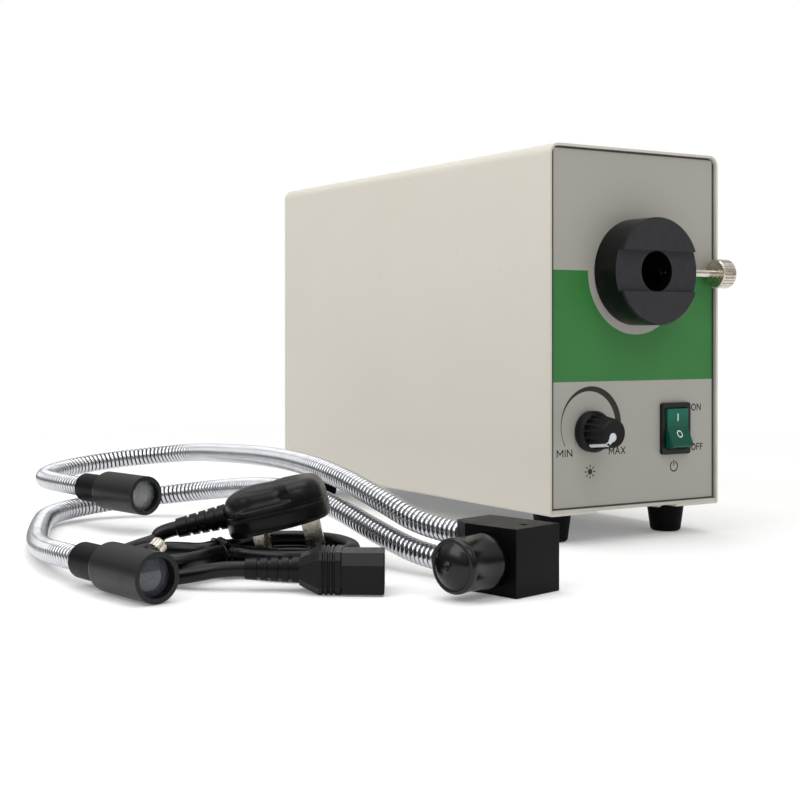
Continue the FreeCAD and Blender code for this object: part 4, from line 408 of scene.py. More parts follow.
# ---- Front panel ------------------------------------------------------------------------------------------
# The panel has the same coat, darker, and is let in behind a rim. A dark line round its edges is painted
# shadow of that rim. Its screen print is a green band that is cut away round the socket, a crescent over the
# intensity knob, a sun and a power sign. The words are strokes of black ink.
panel = powder_coat("panel_paint", srgb(168, 166, 157), srgb(176, 174, 166))
panel_x, panel_y, panel_z = panel.axes()
coat = Value(panel.tree, panel.surface.inputs["Base Color"].links[0].from_socket)


def from_spot(x, z):
    """The distance of a place on the panel from a point, given in millimetres."""
    return ((panel_x - x / 1000) ** 2 + (panel_z - z / 1000) ** 2) ** 0.5


panel_front = -0.1259
on_face = panel_y < panel_front + 0.00005
band = panel_z.within(0.0795, 0.1339) * (1 - from_spot(0.5, 133.6).under(0.031)) * on_face
# Painted shadow: a dark line along the panel's edges, standing for the shade of the cover's rim.
shadow = panel_x.rise(0.0526, 0.0529) | panel_x.under(-0.0521)
shadow = shadow | panel_z.rise(0.1926, 0.1929) | panel_z.under(0.0186)
crescent = from_spot(-28.4, 58.0).under(0.0192) * (1 - from_spot(-30.0, 57.6).under(0.0172))
crescent = crescent * panel_z.rise(0.0484, 0.0486)
sun_off = from_spot(-29.2, 35.4)
sun_turn = panel_z.math("ARCTAN2", panel_z - 0.0354, panel_x + 0.0292) * 8
rays = sun_turn.math("COSINE", sun_turn)
sun = sun_off.within(0.0021, 0.0033) * rays.rise(0.5, 0.62) | sun_off.under(0.00145)
switch_x = 0.0263
sign_x = abs(panel_x - switch_x)
sign_off = from_spot(26.3, 35.4)
opening = sign_x.under(0.0009) * panel_z.rise(0.0353, 0.0355)
sign = sign_off.within(0.0021, 0.0028) * (1 - opening)
sign = sign | sign_x.under(0.00036) * panel_z.within(0.0358, 0.0386)
ink = (crescent | sun | sign) * on_face
printed_green = panel.mix(panel.noise(0.012, 3), srgb(42, 117, 50), srgb(50, 124, 56))
face = panel.mix(band, coat, printed_green)
face = panel.mix(ink, face, srgb(18, 17, 16))
panel.set("Base Color", panel.mix(shadow * 0.9, face, srgb(36, 34, 31)))
panel.onto("front_panel")

black_ink = Finish("panel_paint", srgb(16, 15, 14), 0.5, Specular_IOR_Level=0.15)
black_ink.set("Roughness", 0.42 + black_ink.noise(0.002, 2) * 0.2)


def new_piece(name, mesh, angle=40):
    """A mesh piece from bmesh, smooth except over sharp edges."""
    data = bpy.data.meshes.new(name)
    bmesh.ops.recalc_face_normals(mesh, faces=mesh.faces)
    mesh.to_mesh(data)
    mesh.free()
    data.shade_smooth()
    data.set_sharp_from_angle(angle=math.radians(angle))
    piece = bpy.data.objects.new(name, data)
    scene.collection.objects.link(piece)
    return piece


def skin(mesh, rings, capped=True):
    """Faces from each ring of corners to the next, and over both ends where it is capped."""
    for low, high in zip(rings, rings[1:]):
        for n in range(len(low)):
            m = (n + 1) % len(low)
            mesh.faces.new((low[n], low[m], high[m], high[n]))
    if capped:
        mesh.faces.new(rings[0])
        mesh.faces.new(rings[-1])


def prism(mesh, outline, back, front):
    """A closed prism between two copies of an outline. back and front give a corner's two places."""
    low = [mesh.verts.new(back(u, v)) for u, v in outline]
    high = [mesh.verts.new(front(u, v)) for u, v in outline]
    skin(mesh, [low, high])


round_turns = [k * math.pi / 12 for k in range(25)]
round_letter = [(0.5 + 0.5 * math.cos(turn), 0.5 + 0.5 * math.sin(turn)) for turn in round_turns]
letters = {
    "M": (0.95, [[(0, 0), (0, 1), (0.5, 0.3), (1, 1), (1, 0)]]),
    "I": (0, [[(0, 0), (0, 1)]]),
    "N": (0.75, [[(0, 0), (0, 1), (1, 0), (1, 1)]]),
    "A": (0.85, [[(0, 0), (0.5, 1), (1, 0)], [(0.2, 0.36), (0.8, 0.36)]]),
    "X": (0.75, [[(0, 0), (1, 1)], [(0, 1), (1, 0)]]),
    "O": (0.9, [round_letter]),
    "F": (0.5, [[(0, 0), (0, 1), (1, 1)], [(0, 0.53), (0.85, 0.53)]]),
}
letter_gap = 0.36
ink_thickness = 0.00002


def stroke_bar(start, end, half):
    """The outline of a stroke with square ends, from its half width."""
    along = (end - start).normalized() * half
    across = along.orthogonal()
    return [start - along - across, end + along - across, end + along + across, start - along + across]


def printed(name, word, left, right, low, high, half=0.27):
    """A printed word that fills a box on the panel, in strokes twice that half wide, all in millimetres."""
    mesh = bmesh.new()
    unit = sum(letters[letter][0] for letter in word) + letter_gap * (len(word) - 1)
    unit = (right - left - 2 * half) / unit
    at = left + half
    for letter in word:
        wide, strokes = letters[letter]
        for stroke in strokes:
            spots = [
                Vector((at + x * wide * unit, low + half + y * (high - low - 2 * half))) for x, y in stroke
            ]
            for start, end in zip(spots, spots[1:]):
                prism(
                    mesh,
                    stroke_bar(start, end, half),
                    lambda s, up: Vector((s / 1000, panel_front, up / 1000)),
                    lambda s, up: Vector((s / 1000, panel_front - ink_thickness, up / 1000)),
                )
        at += (wide + letter_gap) * unit
    piece = new_piece(name, mesh)
    black_ink.onto(piece)
    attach(piece, "housing")


printed("mark_min", "MIN", -50.1, -40.4, 43.2, 46.8)
printed("mark_max", "MAX", -17.2, -6.4, 43.2, 46.8)
printed("mark_on", "ON", 38.3, 45.0, 63.4, 67.0)
printed("mark_off", "OFF", 38.3, 46.4, 43.0, 46.6)


# ---- Light guide socket -----------------------------------------------------------------------------------
# The socket is turned and milled from black anodised aluminium, with a flat channel across its face. A ring
# nut holds it behind the panel, and a knurled clamp screw comes in from its side.
turned("black_anodised", srgb(9, 9, 10), light_axis_x, light_axis_z, 0.3, 0.4, 0.0005).onto("guide_socket")
anodised().onto("socket_nut")
nickel.onto("clamp_screw", "clamp_knob")


# ---- Intensity knob ---------------------------------------------------------------------------------------
# A fluted black knob on the potentiometer's shaft. Its white pointer is let in: a line down the side that
# turns over the edge and ends in a drop on the face.
knob_plastic = moulded("knob_black", srgb(17, 16, 16), 0.38, 0.6, Specular_IOR_Level=0.2)
knob_plastic.onto("intensity_knob")
can_metal = metal("potentiometer_metal", srgb(164, 165, 166), srgb(200, 200, 198), 0.28, 0.45, 0.003)
can_metal.onto("potentiometer")
nickel.onto("potentiometer_shaft", "potentiometer_nut")

knob_middle = Vector((-0.0292, -0.1441, 0.0552))
knob_turned = math.radians(40)


def on_knob(side, down, out):
    """A place on the knob in millimetres: across its pointer, along it, and out of the panel."""
    x = side * math.cos(knob_turned) - down * math.sin(knob_turned)
    z = -side * math.sin(knob_turned) - down * math.cos(knob_turned)
    return knob_middle + Vector((x, -out, z)) / 1000


drop = [(0.9, 7.45), (0.95, 5.6), (1.35, 4.3), (1.95, 3.2), (2.1, 2.2), (1.8, 1.2), (1.1, 0.5), (0.4, 0.25)]
drop += [(-side, down) for side, down in reversed(drop)]
line = [(-0.9, -0.16), (0.9, -0.16), (0.9, 11.6), (0.5, 12.0), (-0.5, 12.0), (-0.9, 11.6)]
pointer = bmesh.new()
prism(pointer, drop, lambda s, d: on_knob(s, d, -0.75), lambda s, d: on_knob(s, d, 0.16))
prism(
    pointer,
    line,
    lambda s, back: on_knob(s, 6.3 + 0.13 * back, -back),
    lambda s, back: on_knob(s, 7.28 + 0.13 * back + 0.02 * (back > 1), -back),
)
pointer = new_piece("pointer_inlay", pointer)
enamel = Finish("pointer_white", srgb(214, 217, 222), 0.35)
enamel.set("Base Color", enamel.mix(enamel.noise(0.002, 3), srgb(198, 203, 211), srgb(222, 224, 228)))
enamel.bump(enamel.noise(0.0004, 2), 0.00001)
enamel.onto(pointer)
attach(pointer, "knob")
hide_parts("knob_pointer")


# ---- Power switch -----------------------------------------------------------------------------------------
# A snap-in switch with a glossy green rocker. The line and the ring on it are moulded in white, and its
# terminals behind the panel are brass.
moulded("knob_black", srgb(14, 14, 15), 0.3, 0.5, Specular_IOR_Level=0.35).onto("switch_body")
brass.onto("switch_terminals")
rocker = Finish("rocker_green", srgb(16, 96, 76), 0.16, Specular_IOR_Level=0.22)
rock_x, rock_y, rock_z = rocker.axes()
off_ring = rocker.from_axis(switch_x, 0.0521)
symbol = abs(rock_x - switch_x).under(0.00034) * rock_z.within(0.0586, 0.0624)
symbol = (symbol | off_ring.within(0.00125, 0.0018)) * (rock_y < -0.124)
# The green is painted lighter towards the top as painted light, and fine stripes across it are painted rib
# shading.
painted_top_light = rock_z.rise(0.0535, 0.0645)
painted_rib_shade = rock_x.wave(0.0009) * 0.18
body = rocker.mix(painted_top_light + painted_rib_shade, srgb(4, 78, 62), srgb(8, 104, 80))
rocker.set("Base Color", rocker.mix(symbol, body, srgb(222, 232, 228)))
rocker.bump(rocker.noise(0.0006, 2), 0.000008)
rocker.onto("rocker")


# ---- Screws and feet --------------------------------------------------------------------------------------
# Plated screws hold the cover and the panels to the base. The feet are tapered black rubber with a matt
# grain, and each has its own screw.
zinc.onto("case_screws", "foot_screws")
rubber = moulded("rubber_black", srgb(8, 8, 9), 0.5, 0.75, 0.0007, 0.00002, Specular_IOR_Level=0.08)
rubber.onto("feet")


# ---- Guide block, ferrule and cap -------------------------------------------------------------------------
# Both arms come together in a black anodised block with a bevelled corner and a set screw. Its ferrule fits
# the socket, and a soft glossy cap with a nipple keeps dust off the end.
anodised(srgb(8, 8, 9), srgb(40, 40, 42)).onto("guide_block", "guide_ferrule")
zinc.onto("block_set_screw")
cap_rubber = moulded("rubber_black", srgb(8, 8, 9), 0.16, 0.3, 0.003, 0.00003, Specular_IOR_Level=0.35)

block_turn = math.radians(13)
block_middle = Vector((-0.138, -0.199, 0))
ferrule_out = Vector((-math.cos(block_turn), -math.sin(block_turn), 0))
hoses_out = Vector((-math.sin(block_turn), math.cos(block_turn), 0))
cap_mouth = block_middle + ferrule_out * 0.0165 - hoses_out * 0.004 + Vector((0, 0, 0.0135))
cap_mouth_bead = [(0.3, 10.0), (0, 10.2), (0, 10.7), (0.3, 11), (1.6, 11), (2.1, 10.7)]
cap_rim = [(15.4, 10.7), (15.9, 10.95), (16.7, 11), (17.6, 11), (18.3, 10.8), (18.8, 10.3), (18.9, 9.7)]
cap_dome = [(18.7, 9.2), (18.9, 8.8), (19.5, 8.2), (20.4, 6.9), (21.2, 5.1), (21.7, 3.2), (21.85, 2.0)]
cap_nipple = [(22.2, 1.6), (23.0, 1.5), (23.25, 1.1), (23.3, 0.3)]
cap_inside = [(18.1, 0.3), (18.1, 9.6), (17.8, 10.0)]
cap_outline = cap_mouth_bead + cap_rim + cap_dome + cap_nipple + cap_inside


def lathe(name, outline, start, ahead, around=64, sharp=35):
    """A hollow piece turned about a line, from (distance, radius) pairs in millimetres."""
    mesh = bmesh.new()
    side = ahead.orthogonal().normalized()
    up = ahead.cross(side)
    rings = []
    for along, radius in outline:
        ring = []
        for k in range(around):
            angle = 2 * math.pi * k / around
            out = side * math.cos(angle) + up * math.sin(angle)
            ring.append(mesh.verts.new(start + ahead * (along / 1000) + out * (radius / 1000)))
        rings.append(ring)
    skin(mesh, rings + rings[:1], capped=False)
    return new_piece(name, mesh, sharp)


cap = lathe("dust_cap", cap_outline, cap_mouth, ferrule_out)
cap_rubber.onto(cap)
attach(cap, "cap")
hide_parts("ferrule_cap")


# ---- Chromed gooseneck arms -------------------------------------------------------------------------------
# Each arm is an interlocked steel hose, laid in one bend on the table. Its profile is wound on as a helix of
# rounded crests with a narrow groove between them that is painted dark as shade, and its bundle of fibres
# goes on into the head.
def laid(name, points, steps):
    """A curve on the smooth line that a route in millimetres controls."""
    data = bpy.data.curves.new(name, "CURVE")
    data.dimensions = "3D"
    spline = data.splines.new("NURBS")
    spline.points.add(len(points) - 1)
    for end, (x, y, z) in zip(spline.points, points):
        end.co = (x / 1000, y / 1000, z / 1000, 1)
    spline.order_u = 3
    spline.use_endpoint_u = True
    spline.resolution_u = steps
    curve = bpy.data.objects.new(name, data)
    scene.collection.objects.link(curve)
    return curve


def route_line(name, points, steps=16):
    """The points along the smooth line of a route, in metres."""
    carrier = laid(name, points, steps)
    mesh = bpy.data.meshes.new_from_object(carrier)
    line = [vertex.co.copy() for vertex in mesh.vertices]
    bpy.data.objects.remove(carrier)
    bpy.data.meshes.remove(mesh)
    return line


def evenly(line, step):
    """The line with its points a fixed step apart, and its length."""
    spots = [line[0].copy()]
    left = step
    total = 0.0
    for start, end in zip(line, line[1:]):
        run = (end - start).length
        total += run
        along = left
        while along <= run:
            spots.append(start.lerp(end, along / run))
            along += step
        left = along - run
    return spots, total


def sweep(name, line, radius_at, around=24, shade_at=None):
    """A tube on a line. radius_at gives the radius from the distance along it and the turn round it, and
    shade_at the depth in its groove.
    """
    mesh = bmesh.new()
    depth = mesh.verts.layers.float.new("groove")
    side = None
    rings = []
    travelled = 0.0
    for number, spot in enumerate(line):
        ahead = line[min(number + 1, len(line) - 1)] - line[max(number - 1, 0)]
        ahead.normalize()
        if side is None:
            side = ahead.orthogonal().normalized()
        side = (side - ahead * side.dot(ahead)).normalized()
        up = ahead.cross(side)
        if number:
            travelled += (spot - line[number - 1]).length
        ring = []
        for k in range(around):
            turn = k / around
            angle = turn * 2 * math.pi
            out = side * math.cos(angle) + up * math.sin(angle)
            vertex = mesh.verts.new(spot + out * radius_at(travelled, turn))
            vertex[depth] = shade_at(travelled, turn) if shade_at else 0.0
            ring.append(vertex)
        rings.append(ring)
    skin(mesh, rings)
    return new_piece(name, mesh, 60)


hose_diameter = 0.0105
rib_pitch = 0.0027
ring_step = 0.000175


def groove_at(along, turn):
    """0 on a crest and 1 at the bottom of the groove between two windings."""
    phase = (along / rib_pitch - turn) % 1.0
    return (0.5 + 0.5 * math.cos(2 * math.pi * phase)) ** 6


def hose_radius(along, turn):
    """The full radius on the rounded crest, 1 mm less in the groove."""
    phase = (along / rib_pitch - turn) % 1.0
    off_crest = 2 * abs(phase - 0.5)
    return hose_diameter / 2 - 0.0005 * groove_at(along, turn) - 0.0005 * off_crest**2.4


chrome = Finish("polished_steel", srgb(206, 208, 212), 0.14, 1.0)
dull = chrome.noise(0.004, 3)
groove = Value(chrome.tree, chrome.node("Attribute", attribute_name="groove").outputs["Fac"])
bright = chrome.mix(dull, srgb(170, 173, 179), srgb(226, 227, 230))
# The groove gets a dark colour: painted shade in the hollow between the crests.
chrome.set("Base Color", chrome.mix(groove.rise(0.1, 0.7), bright, srgb(44, 44, 47)))
chrome.set("Roughness", 0.1 + dull * 0.12 + groove * 0.3)

fibres = Finish("lens_glass", srgb(214, 214, 205), 0.25)
strands = fibres.cells(0.00035)
fibres.set("Base Color", fibres.mix(strands.rise(0.2, 0.6), srgb(232, 232, 224), srgb(92, 88, 78)))
fibres.bump(strands, 0.00004, 0)

upper_route = [
    (-139.8, -190.4, 19.75),
    (-147.0, -160.03, 19.75),
    (-150, -126, 29),
    (-147, -82, 36),
    (-141, -34, 38),
    (-135, 18, 37),
    (-132, 66, 34.5),
    (-130.2, 115.5, 31.5),
    (-143.5, 139.8, 28.5),
    (-167.9, 152.9, 25.5),
    (-195.5, 150.8, 22.8),
    (-217.5, 134, 20.8),
    (-227.25, 107.72, 20),
    (-216, 59, 20),
]
lower_route = [
    (-139.8, -190.4, 7.25),
    (-147.0, -160.03, 7.25),
    (-151, -127, 14),
    (-150, -84, 22),
    (-147, -42, 25),
    (-148, 2, 22.5),
    (-149.3, 49, 16.5),
    (-164.1, 72.4, 12.5),
    (-188.9, 84.9, 9.5),
    (-216.6, 82.8, 7.2),
    (-239.2, 66.8, 6),
    (-256.1, 28.3, 5.6),
    (-273, -18, 5.6),
    (-281, -54, 7.5),
    (-284.51, -86.4, 10.1),
    (-280, -112, 10.1),
]
for arm, route in (("upper", upper_route), ("lower", lower_route)):
    line, length = evenly(route_line(f"{arm}_line", route, 40), ring_step)
    hose = sweep(f"gooseneck_{arm}", line, hose_radius, 24, groove_at)
    chrome.onto(hose)
    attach(hose, "housing")
    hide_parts(f"hose_{arm}")
    onward = (line[-1] - line[-20]).normalized()
    bundle_line = [line[-1] + onward * (0.0001 + 0.0379 * n / 12) for n in range(13)]
    bundle = sweep(f"fibre_bundle_{arm}", bundle_line, lambda along, turn: 0.0024, 32)
    fibres.onto(bundle)
    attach(bundle, "housing")


# ---- Light heads ------------------------------------------------------------------------------------------
# A focusing barrel slides on the sleeve at the end of each arm, and a small knurled screw locks it. The
# lens lies behind a step in the barrel's mouth.
def head_finish(neck, angle):
    """Black anodised metal with fine rings about a head's axis, which starts at the end of its arm's route.
    It is bare inside behind the lens.
    """
    x, y, z = Vector(neck) / 1000
    finish = Finish("black_anodised", srgb(12, 12, 13), 0.36, Specular_IOR_Level=0.34)
    place_x, place_y, place_z = finish.axes()
    turn = math.radians(angle)
    along = (place_y - y) * math.cos(turn) - (place_x - x) * math.sin(turn)
    beside = (place_x - x) * math.cos(turn) + (place_y - y) * math.sin(turn)
    off_axis = (beside**2 + (place_z - z) ** 2) ** 0.5
    behind_lens = along > -0.0424
    inside = off_axis.under(0.0079) * behind_lens
    cloud = finish.noise(0.004, 3)
    black = finish.mix(finish.edges(0.0004), srgb(12, 12, 13), srgb(48, 48, 50))
    finish.set("Base Color", finish.mix(inside, black, srgb(196, 196, 192)))
    finish.set("Metallic", inside * 0.6)
    finish.set("Roughness", 0.32 + cloud * 0.16)
    finish.bump(along.wave(0.0003), 0.00001)
    return finish


head_finish(upper_route[-1], 13).onto("lens_barrel_upper")
head_finish(lower_route[-1], 10).onto("lens_barrel_lower")
anodised(srgb(12, 12, 13)).onto("head_sleeves")
# The two lenses are one glass: the upper one's pale, partly diffuse colour is painted light coming through
# it, and the lower one's dark tint is painted shade.
glass("lens_glass", srgb(236, 242, 242), 0.84).onto("head_lens_upper")
glass("lens_glass", srgb(150, 154, 168), 0.85).onto("head_lens_lower")
nickel.onto("lock_screw_upper", "lock_screw_lower")


# ---- Mains lead -------------------------------------------------------------------------------------------
# The lead is wound clockwise in three turns through one wire tie, small loops to the left and large ones
# round the plug's pins. Its two layers lie on each other, and the last turn climbs into the plug.
lead_turn = math.radians(-33)


def lead_spot(a, b, up):
    """A point by its place along, across and over the coiled lead, in millimetres."""
    return (
        -217 + a * math.cos(lead_turn) - b * math.sin(lead_turn),
        -112 + a * math.sin(lead_turn) + b * math.cos(lead_turn),
        up,
    )


def from_tie(along, across, up):
    """A point by its distance from the tie's middle, along and across the two loops."""
    turn = math.atan2(20, 48)
    return lead_spot(
        -4.85 + along * math.cos(turn) - across * math.sin(turn),
        -2.5 + along * math.sin(turn) + across * math.cos(turn),
        up,
    )


left_out = [(7, 10.5), (14, 17.5), (22, 21.8), (31, 20.6), (38.5, 14), (42.6, 5)]
left_in = [(7, 5), (13, 10.5), (20, 14.6), (27.5, 14.4), (33, 9.8), (36, 3.4)]
right_out = [(8, 11), (15, 21), (24, 28.5), (34, 31), (45, 28.5), (54.5, 21), (60.5, 11)]
right_in = [(7, 5.5), (14, 14), (22, 21.3), (32, 24), (42.5, 22), (50, 15.5), (54, 8)]
right_middle = [(7.5, 8.5), (14.5, 17.8), (23.1, 25.3), (33.1, 27.8), (43.9, 25.6), (52.5, 18.5)]
right_middle += [(57.6, 9.6)]


def loop(side, half, start_up, end_up):
    """A whole loop, clockwise: the right one from its far side, the left one from its near side."""
    tip = [(max(u for u, v in half) + 0.9, 0)] if side > 0 else []
    path = half + tip + [(u, -v) for u, v in reversed(half)]
    count = len(path) - 1
    ups = [start_up + (end_up - start_up) * min(1.0, 2.2 * n / count) for n in range(count + 1)]
    return [from_tie(u * side, v * side, up) for (u, v), up in zip(path, ups)]


low_layer = 3.3
high_layer = 9.8
at_waist = 4.35
lead_route = [lead_spot(10.5, -38, 8.5), lead_spot(1, -38, 8.5), lead_spot(-13, -36.2, 5.4)]
lead_route += loop(-1, left_out, low_layer, low_layer)[3:]
lead_route += [from_tie(0, 9.75, at_waist)]
lead_route += loop(1, right_out, low_layer, low_layer)
lead_route += [from_tie(0, -9.75, at_waist)]
lead_route += loop(-1, left_in, low_layer, low_layer)
lead_route += [from_tie(0, 3.25, at_waist)]
lead_route += loop(1, right_in, low_layer, low_layer)
lead_route += [from_tie(0, -3.25, 4.9)]
lead_route += loop(-1, left_in, 6.5, high_layer)
lead_route += [from_tie(0, 6.5, 10.8)]
lead_route += loop(1, right_middle, 10.2, high_layer)
lead_route += [from_tie(0, -7, 10.8)]
climb = loop(-1, left_out, 10.3, high_layer)
lead_route += climb[:7]
lead_route += [(*climb[7][:2], 9.8), (*climb[8][:2], 10.6), (*climb[9][:2], 12.6)]
lead_route += [lead_spot(-33.5, 9.4, 15.9), lead_spot(-25.5, 9.5, 17.9)]

lead_diameter = 0.0065
lead = laid("mains_lead", lead_route, 10)
lead.data.bevel_depth = lead_diameter / 2
lead.data.bevel_resolution = 6
lead.data.use_fill_caps = True
lead_length = evenly(route_line("lead_line", lead_route), 0.01)[1]

vinyl = Finish("cord_black", srgb(10, 10, 11), 0.3, Specular_IOR_Level=0.26)
scuff = vinyl.noise(0.006, 4)
vinyl.set("Base Color", vinyl.mix(scuff.rise(0.4, 0.8), srgb(8, 8, 9), srgb(17, 17, 18)))
vinyl.set("Roughness", 0.2 + scuff * 0.22)
vinyl.bump(vinyl.noise(0.0012, 2), 0.00003, 0)
vinyl.onto(lead)
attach(lead, "housing")
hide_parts("lead_hank", "lead_tails")


# ---- Plug, connector and tie ------------------------------------------------------------------------------
# The plug is moulded on the lead, with a parting line round its middle, a crowned back and a dent for the
# finger and the thumb. It stands on its three plated pins. The connector at the other end has three grip
# grooves and three slots, and a wire tie is wound twice round the coil's waist.
plug_place = Matrix.Translation(Vector(lead_spot(15.4, 9.5, 0.48)) / 1000)
plug_place @= Matrix.Rotation(lead_turn, 4, "Z") @ Matrix.Rotation(math.radians(-13.93), 4, "Y")
plug_corners = [(-13, -11), (-6, -21.6), (4, -23), (20, -23), (31, -15), (32, -4)]
plug_corners += [(x, -y) for x, y in reversed(plug_corners)]


def cut_corners(outline, times):
    """A closed outline with its corners cut to a smooth line."""
    for _ in range(times):
        cut = []
        for (x, y), (u, v) in zip(outline, outline[1:] + outline[:1]):
            cut += [(x * 0.75 + u * 0.25, y * 0.75 + v * 0.25), (x * 0.25 + u * 0.75, y * 0.25 + v * 0.75)]
        outline = cut
    return outline


plug_outline = cut_corners(plug_corners, 3)
plug_foot = [(17.7, 1.4), (18.0, 0.7), (18.7, 0.2), (19.6, 0), (21.5, 0), (23.5, 0), (25.2, 0)]
parting_line = [(25.5, 0.15), (25.7, 0.6), (26.2, 0.6), (26.4, 0.15), (26.7, 0)]
plug_side = [(27.9, 0.05), (28.5, 0.1), (29.0, 0.15), (29.5, 0.2), (30.5, 0.4), (31.4, 0.7), (32.3, 1.0)]
plug_crown = [(33.8, 2.0), (34.9, 3.4), (35.6, 5.2), (36.05, 7.6), (36.4, 11), (36.6, 15)]
crown_x = 9.5
dent_depth = 4.6
plug_mesh = bmesh.new()
plug_rings = []
for up, inset in plug_foot + parting_line + plug_side + plug_crown:
    ring = []
    for x, y in plug_outline:
        grip = math.exp(-(((x - 6) / 11) ** 10)) * math.exp(-(((up - 34) / 5.2) ** 14))
        dent = dent_depth * grip * min(1.0, max(0.0, (abs(y) - 9) / 5))
        shrink = max(0.05, 1 - (inset + dent) / math.hypot(x - crown_x, y))
        corner = Vector((crown_x + (x - crown_x) * shrink, y * shrink, up))
        ring.append(plug_mesh.verts.new(corner / 1000))
    plug_rings.append(ring)
skin(plug_mesh, plug_rings)
plug_mesh.transform(plug_place)
plug = new_piece("moulded_plug", plug_mesh, 28)
shell = moulded("cord_black", srgb(8, 8, 9), 0.22, 0.36, 0.0006, 0.00001, Specular_IOR_Level=0.18)
shell.onto(plug, "strain_reliefs")
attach(plug, "housing")
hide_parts("plug_body")
nickel.onto("plug_pins")

connector_back = 32
connector_across = -38


def connector_spot(along, across, up):
    """A point by its distance from the connector's back, across it and over the table, in millimetres."""
    return Vector(lead_spot(connector_back + along, connector_across + across, up)) / 1000


grip_cut = (12.3, 0, 17, 3, 3)
groove_cut = (11.8, 0.4, 16.5, 3, 3)
connector_cuts = [(0, 8.0, 3.2, 13.8, 2.8, 2.8), (3.5, 9.6, 1.6, 15.4, 3, 3), (7.5, 12.0, 0.2, 16.8, 3, 3)]
connector_cuts += [(8.2, *grip_cut)]
for start in (9.4, 11.4, 13.4):
    connector_cuts += [(start, *grip_cut), (start + 0.25, *groove_cut)]
    connector_cuts += [(start + 0.85, *groove_cut), (start + 1.1, *grip_cut)]
connector_cuts += [(16.7, *grip_cut), (17.0, 12.0, 0.3, 16.7, 3, 3), (17.02, 11.8, 0.55, 16.45, 0.6, 4.5)]
connector_cuts += [(33.6, 11.8, 0.55, 16.45, 0.6, 4.5), (34, 11.4, 0.95, 16.05, 0.6, 4.3)]
connector_mesh = bmesh.new()
connector_rings = []
for along, wide, low, high, foot, shoulder in connector_cuts:
    section = [(-wide, low + foot), (-wide + foot, low), (wide - foot, low), (wide, low + foot)]
    section += [(wide, high - shoulder), (wide - shoulder, high), (-wide + shoulder, high)]
    section += [(-wide, high - shoulder)]
    spots = [connector_spot(along, across, up) for across, up in section]
    connector_rings.append([connector_mesh.verts.new(spot) for spot in spots])
skin(connector_mesh, connector_rings)
connector = new_piece("moulded_connector", connector_mesh, 25)

slot = [(-1.3, -2.4), (1.3, -2.4), (1.3, 2.4), (-1.3, 2.4)]
slots_mesh = bmesh.new()
for across, up in ((-7, 6.2), (7, 6.2), (0, 10.2)):
    prism(
        slots_mesh,
        slot,
        lambda u, v: connector_spot(19, across + u, up + v),
        lambda u, v: connector_spot(35, across + u, up + v),
    )
slots = new_piece("connector_slots", slots_mesh)
cut = connector.modifiers.new("slots", "BOOLEAN")
cut.object = slots
cut.operation = "DIFFERENCE"
cut.solver = "EXACT"
solid = connector.evaluated_get(bpy.context.evaluated_depsgraph_get())
connector_shape = bpy.data.meshes.new_from_object(solid)
connector.modifiers.clear()
connector.data = connector_shape
bpy.data.objects.remove(slots)
shell.onto(connector)
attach(connector, "housing")
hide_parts("connector_c13")
Vector(lead_spot(10, connector_across, 8.5)) / 1000

tie_half = 14.3
tie_turns = []
for across in (-1.2, 1.1):
    base = [(-6, 13.95), (-12.6, 13.6), (-tie_half, 11.6), (-tie_half, 7), (-tie_half, 2.4), (-12.6, 0.75)]
    base += [(0, 0.62)]
    base += [(-side, up) for side, up in reversed(base[:-1])]
    tie_turns += [from_tie(across + 0.1 * n, side, up) for n, (side, up) in enumerate(base)]
tie_ends = []
for strand in (0, 1):
    twist = []
    for n in range(25):
        angle = n / 24 * 6 * math.pi + strand * math.pi
        reach = 1 - 14 * n / 24
        twist.append(from_tie(0.8 * math.cos(angle), reach, 14.9 + 0.75 * math.sin(angle)))
    tie_ends.append(twist)
tie_route = tie_ends[0][::-1] + tie_turns + tie_ends[1]
tie = laid("wire_tie", tie_route, 4)
tie.data.bevel_depth = 0.0006
tie.data.bevel_resolution = 3
tie.data.use_fill_caps = True
shell.onto(tie)
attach(tie, "housing")
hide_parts("lead_tie")


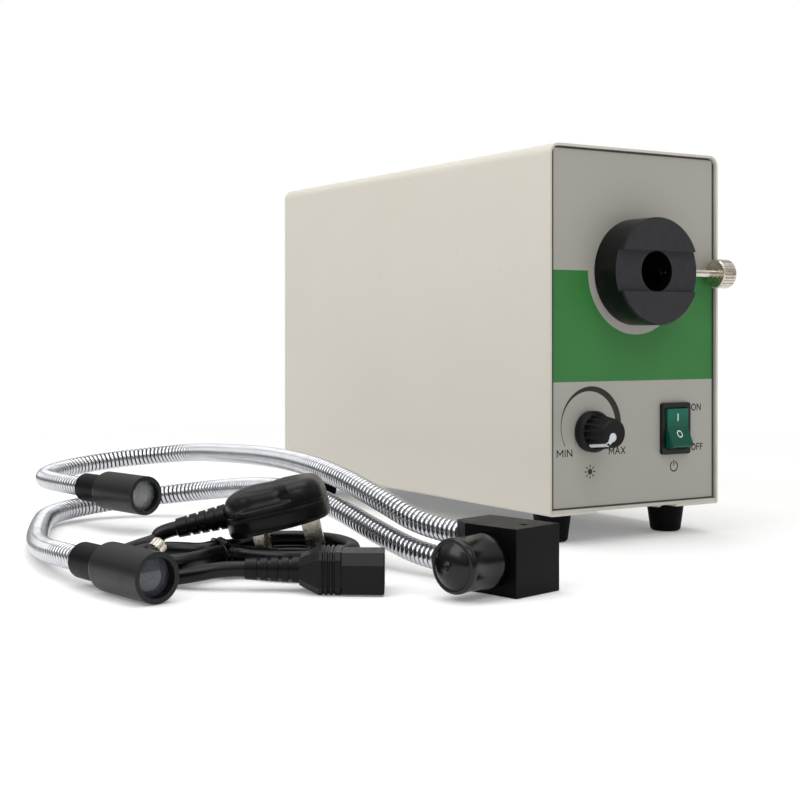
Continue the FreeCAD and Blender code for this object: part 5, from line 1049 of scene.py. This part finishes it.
# ---- Table and light --------------------------------------------------------------------------------------
# A pale table that turns into the white room behind it. Soft lights stand to the left and in front, and a
# large one hangs above. To metal the room is darker up to its horizon, so that it shows its shape.
floor_mesh = bpy.data.meshes.new("table")
floor_mesh.from_pydata([(-9, -9, 0), (9, -9, 0), (9, 9, 0), (-9, 9, 0)], [], [(0, 1, 2, 3)])
floor = bpy.data.objects.new("table", floor_mesh)
scene.collection.objects.link(floor)
floor.location = (0, 0, -0.0002)
table = Finish("table", (0.9, 0.9, 0.9, 1), 0.9, Emission_Strength=1.0)
table_x, table_y, _ = table.axes()
table_ray = table.node("LightPath")
table_seen = table.value(table_ray, "Is Camera Ray") | table.value(table_ray, "Is Glossy Ray")
apart = ((table_x + 0.1) ** 2 + (table_y + 0.05) ** 2) ** 0.5
table.set("Emission Color", table_seen * 0.16)
glow = table.node("Emission", {"Color": (1, 1, 1, 1), "Strength": 1.0})
both = table.node("MixShader", {0: apart.rise(0.42, 0.9)})
table.tree.links.new(table.surface.outputs[0], both.inputs[1])
table.tree.links.new(glow.outputs[0], both.inputs[2])
table.tree.links.new(both.outputs[0], table.tree.nodes["Material Output"].inputs[0])
floor_mesh.materials.append(table.material)

world = bpy.data.worlds.new("room")
scene.world = world
world.use_nodes = True
back = world.node_tree.nodes["Background"]
back.inputs["Color"].default_value = (1, 1, 1, 1)
ray = world.node_tree.nodes.new("ShaderNodeLightPath")
way = world.node_tree.nodes.new("ShaderNodeTexCoord")
split = world.node_tree.nodes.new("ShaderNodeSeparateXYZ")
world.node_tree.links.new(way.outputs["Generated"], split.inputs[0])
seen = Value(world.node_tree, ray.outputs["Is Camera Ray"])
shiny = Value(world.node_tree, ray.outputs["Is Glossy Ray"])
through = Value(world.node_tree, ray.outputs["Is Transmission Ray"])
height = Value(world.node_tree, split.outputs[2])
strength = 0.45 + seen * 0.55 + shiny * (height.rise(0.1, 0.55) * 0.6 - 0.3) + through * 0.3
world.node_tree.links.new(strength.socket, back.inputs["Strength"])


def soft_light(name, spot, target, size, power):
    """A rectangular light that faces the target."""
    data = bpy.data.lights.new(name, "AREA")
    data.shape = "RECTANGLE"
    data.size, data.size_y = size
    data.energy = power
    lamp = bpy.data.objects.new(name, data)
    scene.collection.objects.link(lamp)
    lamp.location = spot
    lamp.rotation_euler = (Vector(target) - Vector(spot)).to_track_quat("-Z", "Y").to_euler()


soft_light("key_light", (-1.0, -0.1, 0.8), (-0.05, 0, 0.1), (0.8, 0.7), 4.9)
soft_light("front_light", (-0.1, -1.1, 1.2), (0, -0.1, 0.12), (0.7, 0.5), 3.9)
soft_light("top_light", (-0.1, 0.1, 1.7), (-0.1, 0, 0), (1.4, 1.4), 14)
